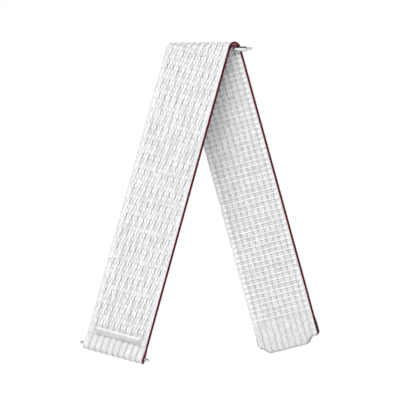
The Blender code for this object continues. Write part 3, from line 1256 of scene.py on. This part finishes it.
@dataclass
class EdgeYarn:
    """The dark yarn whipped along one side of the band, sunk between its white rims."""

    band: FoldedBand
    side: Side
    pitch: float = 0.52
    first: float = -98.3
    corner: float = 93.55
    wrap: float = 1.1
    half_height: float = 0.70
    half_width: float = 0.34
    depth: float = 0.07
    place: float = 9.945
    core_width: float = 0.05
    core_start: float = -95.9
    core_stations: int = 400
    slant: float = 0.22
    bow: float = 0.03
    end_taper: float = 0.9
    taper_power: int = 5
    around: int = 6
    stations: tuple[float, ...] = (-1.0, -0.8, -0.4, 0.0, 0.4, 0.8, 1.0)
    corner_squeeze: float = 0.94
    pin_hole: float = 0.42
    pin_reach: float = 1.1
    bulge: float = 0.06
    most_height: float = 0.69
    tail_shift: float = 0.08
    tail_shift_edges: tuple[float, ...] = (2.0, 6.0, 78.0, 90.0)
    # Where a highlight is painted on the yarn at the fold's crown, and how strong it is.
    crown_place: float = 2.09
    crown_reach: float = 1.1
    crown_level: float = -0.12
    crown_height: float = 0.28
    crown_highlight: float = 0.8
    seed: int = 7

    def pattern(self) -> bpy.types.Object:
        """Make one stitch, which crosses the side from face to face.

        Returns:
            The pattern that the tree copies.
        """
        points, strand = [], []
        for share in self.stations:
            size = math.sqrt(1 - (self.end_taper * abs(share)) ** self.taper_power)
            for step in range(self.around):
                angle = FULL_TURN * step / self.around
                x = self.depth * size * math.cos(angle)
                y = self.half_width * size * math.sin(angle) + self.slant * share
                points.append((x - self.bow * share**4, y, share * self.half_height))
                strand.append((y, share * self.half_height, 0.0))
        faces = tube_faces(len(self.stations), self.around)
        pattern = make_object("stitch_pattern", np.array(points), faces, None)
        store(pattern, "strand", np.array(strand))
        return pattern

    def part_round_pin(self, points: np.ndarray) -> None:
        """Push the stitches aside where the lower bar's pin comes out between them.

        Args:
            points: The yarn's flat points, which are moved.
        """
        along = points[:, 1] - self.band.lower_bar_place
        distance = np.hypot(along, points[:, 2])
        wanted = (distance**3 + self.pin_hole**3) ** (1 / 3)
        grow = wanted / np.maximum(distance, 0.02)
        points[:, 1] = self.band.lower_bar_place + along * grow
        points[:, 2] = np.clip(points[:, 2] * grow, -self.most_height, self.most_height)
        points[:, 0] += self.side.value * self.bulge * np.exp(-((along / self.pin_reach) ** 2))

    def shift_and_find_highlight(self, points: np.ndarray) -> np.ndarray:
        """Let the yarn stand out more on the tail, and find where a highlight is painted on it at the fold's
        crown.

        Args:
            points: The yarn's flat points, which are moved.

        Returns:
            How much painted highlight each point gets, from 0 to 1.
        """
        away = (points[:, 1] - self.side.value * self.crown_place) / self.crown_reach
        up = (points[:, 2] - self.crown_level) / self.crown_height
        rise, top, fall, foot = self.tail_shift_edges
        shift = smooth_step(points[:, 1], rise, top) * (1 - smooth_step(points[:, 1], fall, foot))
        points[:, 0] += self.side.value * self.tail_shift * shift
        return self.crown_highlight * np.exp(-(away**2) - up**2)

    def turn_corner(self, points: np.ndarray, ground: GroundCloth) -> None:
        """Bend the part past the tab's corner round the tab's outline.

        Args:
            points: The yarn's flat points, which are moved.
            ground: The cloth whose outline it follows.
        """
        inset, feeler = 0.05, 0.1
        radius = ground.corner_radius - inset
        centre = self.place - radius
        angles = np.linspace(0, math.pi / 2, num=13)
        sizes = np.linspace(centre, ground.tab_half_width - ground.tab_flare, num=30)[1:]
        path_x = np.concatenate([centre + radius * np.cos(angles), sizes])
        path_y = np.concatenate([self.corner + radius * np.sin(angles), ground.end_of(sizes) - inset])
        lengths = np.concatenate([[0], np.cumsum(np.hypot(np.diff(path_x), np.diff(path_y)))])
        run = points[:, 1] - self.corner
        before, (x, y), after = (
            [np.interp(run + reach, lengths, path) for path in (path_x, path_y)]
            for reach in (-feeler, 0.0, feeler)
        )
        step_x, step_y = after[0] - before[0], after[1] - before[1]
        step = np.maximum(np.hypot(step_x, step_y), 1e-6)
        out = np.abs(points[:, 0]) - self.place
        past = run > 0
        points[past, 0] = self.side.value * (x + out * step_y / step)[past]
        points[past, 1] = (y - out * step_x / step)[past]
        points[past, 2] *= self.corner_squeeze

    def build(self, ground: GroundCloth, material: bpy.types.Material) -> bpy.types.Object:
        """Build the stitches of this side as one piece, on a thin core.

        Args:
            ground: The cloth whose edge they whip.
            material: Their finish.

        Returns:
            The piece.
        """
        name, last, pattern = self.side.name.lower(), self.corner + self.wrap, self.pattern()
        loom = Loom(
            "edge_yarn_" + name,
            count=int((last - self.first) / self.pitch) + 1,
            place=self.place * self.side.value,
            core_height=2 * self.half_height,
            core_end=last,
            stitch=pattern,
            material=material,
            **sizes_of(self, "first", "pitch", "core_width", "core_start", "core_stations", "seed"),
        )
        tree, given, work = loom.tree, loom.given, loom.work
        ahead, tilt, length, tone = loom.draw(
            (1, -0.02, 0.02), (2, -0.04, 0.04), (3, 0.96, 1.04), (4, 0.0, 1.0)
        )
        index = add(tree, "GeometryNodeInputIndex")
        along = work(index, ("MULTIPLY", given.pitch), ("ADD", given.first), ("ADD", ahead))
        place = {"Count": given.count, "Position": add(tree, COMBINE, (given.place, along, 0.0))}
        points = add(tree, "GeometryNodePoints", place)
        source = add(tree, "GeometryNodeObjectInfo", {"Object": given.stitch}).outputs["Geometry"]
        turn = 0.0 if self.side is Side.RIGHT else math.pi
        rotation = add(tree, COMBINE, (tilt, 0.0, turn))
        stitches = loom.repeat(points, source, rotation, add(tree, COMBINE, (1.0, length, 1.0)), tone)
        start, end = (
            add(tree, COMBINE, (given.place, edge)) for edge in (given.core_start, given.core_end)
        )
        line = {"Curve": add(tree, "GeometryNodeCurvePrimitiveLine", {"Start": start, "End": end})}
        finer = add(tree, "GeometryNodeResampleCurve", {**line, "Count": given.core_stations})
        profile = {"Width": given.core_width, "Height": given.core_height}
        profile = add(tree, "GeometryNodeCurvePrimitiveQuadrilateral", profile)
        core = {"Curve": finer, "Profile Curve": profile, "Fill Caps": True}
        joined = add(tree, "GeometryNodeJoinGeometry", (add(tree, "GeometryNodeCurveToMesh", core),))
        tree.links.new(stitches.outputs[0], joined.inputs[0])
        piece = loom.weave(joined)
        bpy.data.objects.remove(pattern)
        points = read_points(piece)
        self.part_round_pin(points)
        # Painted highlight: a pale spot on the red yarn where it turns over the fold's crown.
        store(piece, "pulled", self.shift_and_find_highlight(points))
        self.turn_corner(points, ground)
        write_points(piece, points)
        self.band.hang(piece, "red_yarn")
        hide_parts(*(f"edge_{part}_{name}" for part in ("main", "fold", "tail")))
        return piece


@dataclass
class Sleeve:
    """The band's lower end, turned round the lower bar and pressed into ribs."""

    band: FoldedBand
    bore_radius: float = 0.88
    radius: float = 1.48
    taper: float = 3.4
    half_width: float = 9.95
    flap_inset: float = 0.10
    flap_reach: float = 1.5
    flap_groove_depth: float = 0.20
    groove_depth: float = 0.13
    groove_width: float = 0.25
    groove_shade: float = 0.65
    bore_shade: float = 0.3
    rounding: float = 0.2
    rim_drop: float = 0.12
    stations: int = 56

    def outline(self) -> np.ndarray:
        """Return the sleeve's outline round the bar.

        Returns:
            Evenly spaced places along and out of the band, one row each.
        """
        half, arc_steps = self.band.half_thickness - self.flap_inset, 40
        distance = math.hypot(self.taper, half)
        start = math.atan2(half, self.taper) + math.acos(self.radius / distance)
        turn = 2 * (math.pi - start)
        angles = [start + turn * step / arc_steps for step in range(arc_steps + 1)]
        arc = [(self.radius * math.cos(angle), -self.radius * math.sin(angle)) for angle in angles]
        line = np.array([(self.taper, -half), *arc, (self.taper, half)])
        lengths = np.concatenate([[0], np.cumsum(np.hypot(*np.diff(line, axis=0).T))])
        spots = np.linspace(0, lengths[-1], self.stations)
        return np.stack([np.interp(spots, lengths, line[:, axis]) for axis in (0, 1)], 1)

    def build(self, ground: GroundCloth, material: bpy.types.Material) -> bpy.types.Object:
        """Build the sleeve as one closed piece with an open bore.

        Args:
            ground: The cloth whose ribs it carries on.
            material: Its finish.

        Returns:
            The piece.
        """
        outline, count = self.outline(), self.stations
        normals = np.gradient(outline, axis=0)
        normals = np.stack([normals[:, 1], -normals[:, 0]], 1)
        normals /= np.linalg.norm(normals, axis=1)[:, None]
        angles = np.arctan2(-outline[:, 1], outline[:, 0])
        angles = np.unwrap(np.where(angles < 0, angles + FULL_TURN, angles))
        angles = np.linspace(angles[0], angles[-1], count)
        bore = self.bore_radius * np.stack([np.cos(angles), -np.sin(angles)], 1)
        columns = ground.columns()
        columns = columns[np.abs(columns) < self.half_width - 0.02]
        columns = np.concatenate([[-self.half_width], columns, [self.half_width]])
        grooves = ground.grooves(columns, self.groove_width)
        share = np.clip((np.abs(columns) - self.half_width) / self.rounding + 1, 0, 1)
        rim = self.rim_drop * (1 - np.sqrt(1 - share**2))
        flap = smooth_step(outline[:, 0], self.taper - self.flap_reach, self.taper)
        depths = between(self.groove_depth, self.flap_groove_depth, flap)
        points, tones = [], []
        for place, groove, drop in zip(columns, grooves, rim):
            skin = outline - normals * (depths[:, None] * groove + drop)
            # Painted shade: the skin is darker in the ribs' grooves, and the inside of the bore is dark.
            skin_tone = 1.0 - self.groove_shade * groove
            for ring, tone in ((skin, skin_tone), (bore[::-1], self.bore_shade)):
                along = self.band.lower_bar_place + ring[:, 0]
                points.append(np.stack([np.full(count, place), along, ring[:, 1]], 1))
                tones.append(np.full(count, tone))
        points = np.concatenate(points)
        around = 2 * count
        last = (len(columns) - 1) * around
        first_end, last_end = cap_faces(0, count, around), cap_faces(last, count, around)
        faces = ring_faces(len(columns), around) + flipped(first_end) + last_end
        piece = make_object("sleeve", points, flipped(faces), material)
        store(piece, "strand", points)
        store(piece, "tone", np.concatenate(tones))
        self.band.hang(piece, "white_nylon", "band")
        return piece


@dataclass
class KeeperBar:
    """The smooth bar welded across the front leg, with a soft crown and round corners."""

    band: FoldedBand
    first: float = -93.67
    width: float = 2.2
    half_length: float = 7.5
    foot: float = 0.35
    base_depth: float = 0.05
    height: float = 1.30
    corner: float = 0.35
    end_slimming: float = 0.12
    end_reach: float = 0.5
    end_power: float = 2.5
    end_height: float = 0.25
    side_powers: tuple[float, float] = (2.4, 4.0)
    crown_power: float = 0.55
    # Painted highlights along the upper and lower edges: the most tone each gets, and the shares where it
    # rises.
    upper_highlight: Triple = (0.9, 0.35, 0.8)
    lower_highlight: Triple = (0.15, 0.6, 0.9)
    ends: tuple[float, ...] = (0.0, 0.03, 0.1, 0.22, 0.4, 0.7, 1.2)
    lower_shares: tuple[float, ...] = (-1, -0.985, -0.94, -0.85, -0.7, -0.45, -0.15)
    upper_shares: tuple[float, ...] = (0.15, 0.4, 0.6, 0.75, 0.87, 0.95, 0.985, 1)

    def build(self, material: bpy.types.Material) -> bpy.types.Object:
        """Build the bar as one closed piece.

        Args:
            material: Its finish.

        Returns:
            The piece.
        """
        shares = np.array(self.lower_shares + self.upper_shares)
        powers = np.where(shares < 0, *self.side_powers)
        crown = np.clip(1 - np.abs(shares) ** powers, 0, 1) ** self.crown_power
        middle = self.first + self.width / 2
        places = [-self.half_length + end for end in self.ends] + [0.0]
        places += [self.half_length - end for end in reversed(self.ends)]
        points = []
        for place in places:
            gap = self.half_length - abs(place)
            corner = min(gap / self.corner, 1.0)
            slim = 1 - self.end_slimming * (1 - math.sqrt(1 - (1 - corner) ** 2))
            rise = (1 - (1 - min(gap / self.end_reach, 1.0)) ** self.end_power) ** 0.5
            along = middle + shares * self.width / 2 * slim
            top = (self.height - self.foot) * crown * (self.end_height + (1 - self.end_height) * rise)
            across, base = np.full(len(shares), place), np.full(len(shares), self.foot - self.base_depth)
            points.append(np.stack([across, along, self.foot + top], 1))
            points.append(np.stack([across, along, base], 1)[::-1])
        faces = flipped(tube_faces(len(places), 2 * len(shares)))
        piece = make_object("keeper", np.concatenate(points), faces, material)
        # Painted highlight: the tone is lighter along the upper edge and a little along the lower edge.
        sides = ((shares, self.upper_highlight), (-shares, self.lower_highlight))
        tone = sum(most * smooth_step(share, *edges) for share, (most, *edges) in sides)
        store(piece, "tone", np.tile(np.concatenate([tone, tone[::-1]]), len(places)))
        self.band.hang(piece, "welded_nylon", "band")
        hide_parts("keeper_bar")
        return piece


@dataclass
class HookPatch:
    """The hook tape sewn on the outer face of the tail's end."""

    band: FoldedBand
    length: float = 13.0
    half_width: float = 10.04
    start_half_width: float = 9.8
    inset: float = 0.1
    foot: float = 0.70
    lip: float = -0.55
    lip_end: float = 91.4
    lip_reach: float = 3.5
    top: float = 1.25
    rim: float = 0.25
    rim_drop: float = 0.3
    edge_columns: tuple[float, ...] = (0.15, 0.07, 0.05, 0.0)
    row_shares: tuple[float, ...] = (0.0, 0.01, 0.03, 0.3, 0.55, 0.62, 0.69, 0.76, 0.83, 0.9, 0.97, 0.99, 1.0)
    end_lifts: tuple[float, float] = (0.55, 0.85)
    weave_stretch: float = 2.0
    backing_tone: float = 0.4
    hook_height: float = 0.45
    hook_root: float = 0.03
    hook_pitch: float = 0.85
    start_margin: float = 0.5
    both_margins: float = 3.6
    side_margin: float = 0.6
    hook_path: tuple = ((0.0, 0.0), (0.0, 0.5), (0.03, 0.8), (0.14, 0.98), (0.28, 0.95), (0.36, 0.78))
    wire: float = 0.075
    tip: float = 0.7
    seed: int = 11

    def backing(self, ground: GroundCloth, material: bpy.types.Material) -> bpy.types.Object:
        """Build the tape's backing, cut to the tab's outline, with its lip at the end.

        Args:
            ground: The cloth whose outline it follows.
            material: Its finish.

        Returns:
            The piece.
        """
        inner = np.linspace(-self.half_width + self.rim, self.half_width - self.rim, 41)
        edge = self.half_width - np.array(self.edge_columns)
        columns = np.concatenate([-edge[::-1], inner, edge])
        size, count = np.abs(columns), len(columns)
        start = self.band.tail_length - self.length
        shoulder = self.band.tail_length - ground.tab_height
        outline = size * ground.band.half_width / self.half_width
        ends = np.minimum(ground.end_of(outline), shoulder) - self.inset
        beyond = size > ground.band.half_width + 0.02
        lifts = np.ones(len(self.row_shares))
        lifts[:2], lifts[-2:] = self.end_lifts, self.end_lifts[::-1]
        rim = np.clip((size - self.half_width + self.rim) / self.rim, 0, 1)
        rim = 1 - self.rim_drop * (1 - np.sqrt(1 - rim**2))
        loops = []
        for share, lift in zip(self.row_shares, lifts):
            along = start + share * (ends - start)
            height = self.foot + (self.top - self.foot) * lift * rim
            wide = smooth_step(along, self.lip_end - self.lip_reach, self.lip_end)
            across = columns * (wide + (1 - wide) * self.start_half_width / self.half_width)
            foot = np.where(beyond, between(self.foot, self.lip, wide), self.foot)
            loops.append(np.stack([across, along, height], 1))
            loops.append(np.stack([across, along, foot], 1)[::-1])
        points, around, rows = np.concatenate(loops), 2 * count, len(self.row_shares)
        last_end = flipped(cap_faces((rows - 1) * around, count, around))
        faces = ring_faces(rows, around) + cap_faces(0, count, around) + last_end
        piece = make_object("hook_backing", points, faces, material)
        store(piece, "strand", points * self.weave_stretch)
        store(piece, "tone", np.full(len(points), self.backing_tone))
        return piece

    def pattern(self) -> bpy.types.Object:
        """Make one hook: a bent nylon wire with its tip turned down.

        Returns:
            The pattern that the tree copies.
        """
        path, around = self.hook_path, 5
        last = len(path) - 1
        points = []
        for number, (y, z) in enumerate(path):
            before, after = path[max(number - 1, 0)], path[min(number + 1, last)]
            angle = math.atan2(after[1] - before[1], after[0] - before[0])
            size = self.wire * (self.tip if number == last else 1.0)
            for step in range(around):
                turn = FULL_TURN * step / around
                side = size * math.cos(turn)
                up = z * self.hook_height + side * math.cos(angle)
                points.append((size * math.sin(turn), y - side * math.sin(angle), up))
        pattern = make_object("hook_pattern", np.array(points), tube_faces(len(path), around), None)
        store(pattern, "strand", np.array(points))
        return pattern

    def hooks(self, material: bpy.types.Material) -> bpy.types.Object:
        """Build all the hooks as one piece.

        Args:
            material: Their finish.

        Returns:
            The piece, flat.
        """
        pattern = self.pattern()
        loom = Loom(
            "hooks",
            rows=int((self.length - self.both_margins) / self.hook_pitch) + 1,
            columns=int(2 * (self.half_width - self.side_margin) / self.hook_pitch) + 1,
            first_row=self.band.tail_length - self.length + self.start_margin,
            level=self.top - self.hook_root,
            hook=pattern,
            material=material,
            **sizes_of(self, "hook_pitch", "seed"),
        )
        tree, given, work = loom.tree, loom.given, loom.work
        aside, ahead, swing, size, tone = loom.draw(
            (1, -0.08, 0.08), (2, -0.08, 0.08), (3, -0.3, 0.3), (4, 0.9, 1.1), (5, 0.0, 1.0)
        )
        index = add(tree, "GeometryNodeInputIndex")
        row = work(index, ("DIVIDE", given.columns), ("FLOOR",))
        column = work(index, ("FLOORED_MODULO", given.columns))
        half = work(given.columns, ("SUBTRACT", 1.0), ("MULTIPLY", 0.5))
        across = work(column, ("SUBTRACT", half), ("MULTIPLY", given.hook_pitch), ("ADD", aside))
        along = work(row, ("MULTIPLY", given.hook_pitch), ("ADD", given.first_row), ("ADD", ahead))
        place = {"Count": work(given.rows, ("MULTIPLY", given.columns))}
        place["Position"] = add(tree, COMBINE, (across, along, given.level))
        points = add(tree, "GeometryNodePoints", place)
        source = add(tree, "GeometryNodeObjectInfo", {"Object": given.hook}).outputs["Geometry"]
        turn = work(column, ("FLOORED_MODULO", 2.0), ("MULTIPLY", math.pi), ("ADD", swing))
        rotation, scale = add(tree, COMBINE, (0.0, 0.0, turn)), add(tree, COMBINE, (1.0, 1.0, size))
        piece = loom.weave(loom.repeat(points, source, rotation, scale, tone))
        bpy.data.objects.remove(pattern)
        return piece

    def build(self, ground: GroundCloth, material: bpy.types.Material) -> None:
        """Build the backing and the hooks.

        Args:
            ground: The cloth that they are sewn on.
            material: Their finish.
        """
        hooks, backing = self.hooks(material), self.backing(ground, material)
        for piece in (backing, hooks):
            self.band.hang(piece, "hook_tape", "tail")
        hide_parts("hook_patch")


# Spring bars


@dataclass
class SpringBar:
    """One spring bar: its packed tube and pins in steel, and its coil spring in two halves.

    Sizes are in millimetres.
    """

    level: str
    centre: Triple
    axis: Triple = (1.0, 0.0, 0.0)
    spring_reach: float = 7.93
    coil_radius: float = 0.47
    wire_radius: float = 0.08
    turns: int = 7
    steps_per_turn: int = 12
    around: int = 6

    def half_spring(self, side: Side, material: bpy.types.Material) -> bpy.types.Object:
        """Build the half of the coil spring on one side.

        Args:
            side: The side.
            material: The wire's finish.

        Returns:
            The half, from the bar's middle to the head of the pin.
        """
        sign, word, full = side.value, side.name.lower(), FULL_TURN * self.turns
        share = np.linspace(0, 1, self.turns * self.steps_per_turn + 1)
        angle = full * share
        radial = np.stack([0 * angle, np.cos(angle), np.sin(angle) * sign], 1)
        onward = np.full_like(angle, sign * self.spring_reach / full)
        round_it = (-self.coil_radius * np.sin(angle), self.coil_radius * np.cos(angle) * sign)
        ahead = np.stack([onward, *round_it], 1)
        aside = np.cross(ahead / np.linalg.norm(ahead, axis=1, keepdims=True), radial)
        middle = self.coil_radius * radial
        middle[:, 0] = sign * self.spring_reach * share
        turn = (FULL_TURN * np.arange(self.around) / self.around)[None, :, None]
        wire = np.cos(turn) * radial[:, None] + np.sin(turn) * aside[:, None]
        rings = middle[:, None] + self.wire_radius * wire
        onto_axis = np.array(Vector((1, 0, 0)).rotation_difference(Vector(self.axis)).to_matrix())
        points = (rings.reshape(-1, 3) @ onto_axis.T + self.centre) * MILLIMETRE
        name, faces = f"{self.level}_bar_spring_{word}", tube_faces(len(share), self.around)
        piece = make_object(name, points, faces, material)
        start = np.array(self.centre) * MILLIMETRE
        end = (np.array(self.centre) + sign * self.spring_reach * np.array(self.axis)) * MILLIMETRE
        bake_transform(piece)
        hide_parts(f"{self.level}_bar_spring")
        report(piece)
        return piece

    def dress(self) -> None:
        """Give the tube and the pins their finish, and put in the spring."""
        turn = tuple(Vector(self.axis).rotation_difference(Vector((1, 0, 0))).to_euler())
        bright, wire = STEEL.build(turn), SPRING_STEEL.build(turn)
        for part in ("tube", "pin_left", "pin_right"):
            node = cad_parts[f"{self.level}_bar_{part}"]
            node.material_slots[0].material = bright
            report(node)
        for side in Side:
            self.half_spring(side, wire)


# Studio


@dataclass
class Studio:
    """The floor, the lamps, the white surroundings and the camera. Sizes are in metres."""

    floor_level: float = -0.125
    floor_radius: float = 0.6
    floor_fade: tuple[float, float] = (0.12, 0.42)
    camera_azimuth: float = 23.5
    camera_distance: float = 2.5
    aim: Triple = (-0.000961, -0.00035, -0.045267)
    frame_width: float = 0.1201
    world_strength: float = 0.48
    ceiling_edges: tuple[float, float] = (0.35, 0.7)
    ceiling_darkness: float = 0.97
    lamp_size: tuple[float, float] = (1.1, 0.4)

    def floor(self) -> bpy.types.Object:
        """Build the pale floor, which fades to the white of the surroundings.

        Returns:
            The floor, which is no part of the strap.
        """
        around = 96
        angles = [FULL_TURN * i / around for i in range(around)]
        rim = [(self.floor_radius * math.cos(a), self.floor_radius * math.sin(a)) for a in angles]
        # Painted board, rolled on: pale and matt, so that it only carries the soft shadow.
        material = bpy.data.materials.new("pale_floor")
        material.use_nodes = True
        tree = material.node_tree
        shader = tree.nodes["Principled BSDF"]
        shader.inputs["Base Color"].default_value = linear("#F2F2F2")
        shader.inputs["Roughness"].default_value = 0.9
        place = add(tree, "ShaderNodeTexCoord").outputs["Object"]
        flat = add(tree, VECTOR_MATH, (place, (1.0, 1.0, 0.0)), operation="MULTIPLY")
        distance = add(tree, VECTOR_MATH, (flat,), operation="LENGTH").outputs["Value"]
        fade = {"Value": distance, "From Min": self.floor_fade[0], "From Max": self.floor_fade[1]}
        share = add(tree, MAP_RANGE, fade, interpolation_type="SMOOTHSTEP")
        seen = add(tree, "ShaderNodeLightPath").outputs["Is Camera Ray"]
        factor = add(tree, MATH, (share, seen), operation="MULTIPLY")
        white = add(tree, "ShaderNodeEmission", {"Strength": 1.0})
        mixed = add(tree, "ShaderNodeMixShader", (factor, shader, white))
        tree.links.new(mixed.outputs[0], tree.nodes["Material Output"].inputs["Surface"])
        points = np.array([(x, y, self.floor_level) for x, y in rim])
        piece = make_object("floor", points, [tuple(range(around))], material)
        return piece

    def surroundings(self) -> None:
        """Light the scene from all round, and show plain white behind it.

        Reflections see the same white, but a dark ceiling, which draws the thin dark line
        along the top of the bright tube.
        """
        world = bpy.context.scene.world or bpy.data.worlds.new("studio")
        bpy.context.scene.world = world
        world.use_nodes = True
        tree = world.node_tree
        background = tree.nodes["Background"]
        background.inputs["Color"].default_value = (1, 1, 1, 1)
        background.inputs["Strength"].default_value = self.world_strength
        rays = add(tree, "ShaderNodeLightPath").outputs
        seen = rays["Is Camera Ray"]
        for kind in ("Is Glossy Ray", "Is Transmission Ray"):
            seen = add(tree, MATH, (seen, rays[kind]), operation="MAXIMUM")
        up = add(tree, SEPARATE, (add(tree, "ShaderNodeTexCoord").outputs["Generated"],)).outputs["Z"]
        edges = {"Value": up, "From Min": self.ceiling_edges[0], "From Max": self.ceiling_edges[1]}
        ceiling = add(tree, MAP_RANGE, {**edges, "To Min": 0.0, "To Max": self.ceiling_darkness})
        ceiling = add(tree, MATH, (ceiling, rays["Is Glossy Ray"]), operation="MULTIPLY")
        bright = add(tree, MATH, (1.0, ceiling), operation="SUBTRACT")
        white = add(tree, "ShaderNodeBackground", {"Color": (1, 1, 1, 1), "Strength": bright})
        mixed = add(tree, "ShaderNodeMixShader", (seen, background, white))
        tree.links.new(mixed.outputs[0], tree.nodes["World Output"].inputs["Surface"])

    def lamp(self, name: str, place: Triple, power: float) -> None:
        """Add one wide soft lamp that shines at the strap's middle.

        It stays out of reflections, where it would hide the tube's dark line.

        Args:
            name: The lamp's name.
            place: Where it stands.
            power: Its power in watts.
        """
        light = bpy.data.lights.new(name, "AREA")
        light.shape = "RECTANGLE"
        light.size, light.size_y = self.lamp_size
        light.energy = power
        lamp = bpy.data.objects.new(name, light)
        bpy.context.scene.collection.objects.link(lamp)
        lamp.location = place
        lamp.visible_glossy = False
        aim = Vector(self.aim) - Vector(place)
        lamp.rotation_euler = aim.to_track_quat("-Z", "Y").to_euler()

    def camera(self) -> None:
        """Add the long-lens camera at the photograph's viewing angle."""
        data = bpy.data.cameras.new("camera")
        data.lens = data.sensor_width * self.camera_distance / self.frame_width
        data.clip_end = 10.0
        camera = bpy.data.objects.new("camera", data)
        bpy.context.scene.collection.objects.link(camera)
        azimuth = math.radians(self.camera_azimuth)
        back = Vector((math.sin(azimuth), -math.cos(azimuth), 0.0))
        camera.location = Vector(self.aim) + back * self.camera_distance
        camera.rotation_euler = (-back).to_track_quat("-Z", "Y").to_euler()
        bpy.context.scene.camera = camera

    def build(self) -> None:
        """Set up the whole studio."""
        self.floor()
        self.surroundings()
        self.lamp("key", (0.02, -0.92, 0.42), 7.85)
        self.lamp("fill", (0.0, 0.95, 0.3), 2.5)
        self.camera()
        bpy.context.scene.view_settings.view_transform = "Standard"


def main() -> None:
    """Build the strap's looks and its studio."""
    logging.basicConfig(level=logging.INFO, format="%(name)s: %(message)s")
    band = FoldedBand()
    yarn, cloth, red = WHITE_YARN.build(), GROUND.build(), RED_YARN.build()
    ground = GroundCloth(band)
    ground.build(cloth)
    braided_face(band).build(yarn)
    first_cord, cord_pitch = 1.03, 1.575
    for field in ladder_warps(band, first_cord, cord_pitch):
        field.build(yarn)
    LadderCords("ladder_cords_even", band, first_cord, 2 * cord_pitch, notch=0.06, seed=5).build(yarn)
    second_cord = first_cord + cord_pitch
    LadderCords("ladder_cords_odd", band, second_cord, 2 * cord_pitch, notch=0.0, seed=6).build(yarn)
    EdgeYarn(band, Side.RIGHT).build(ground, red)
    sunk = {"half_height": 0.55, "depth": 0.04, "place": 9.92, "tail_shift": 0.0}
    EdgeYarn(band, Side.LEFT, **sunk).build(ground, red)
    Sleeve(band).build(ground, cloth)
    KeeperBar(band).build(WELDED.build())
    HookPatch(band).build(ground, HOOK_YARN.build())
    SpringBar("upper", (4.2, 0.0, 0.0)).dress()
    SpringBar("lower", (-22.6131, -14.7343, -90.6141), (0.9725733, -0.0313659, -0.2304718)).dress()
    Studio().build()


if __name__ == "__main__":
    main()
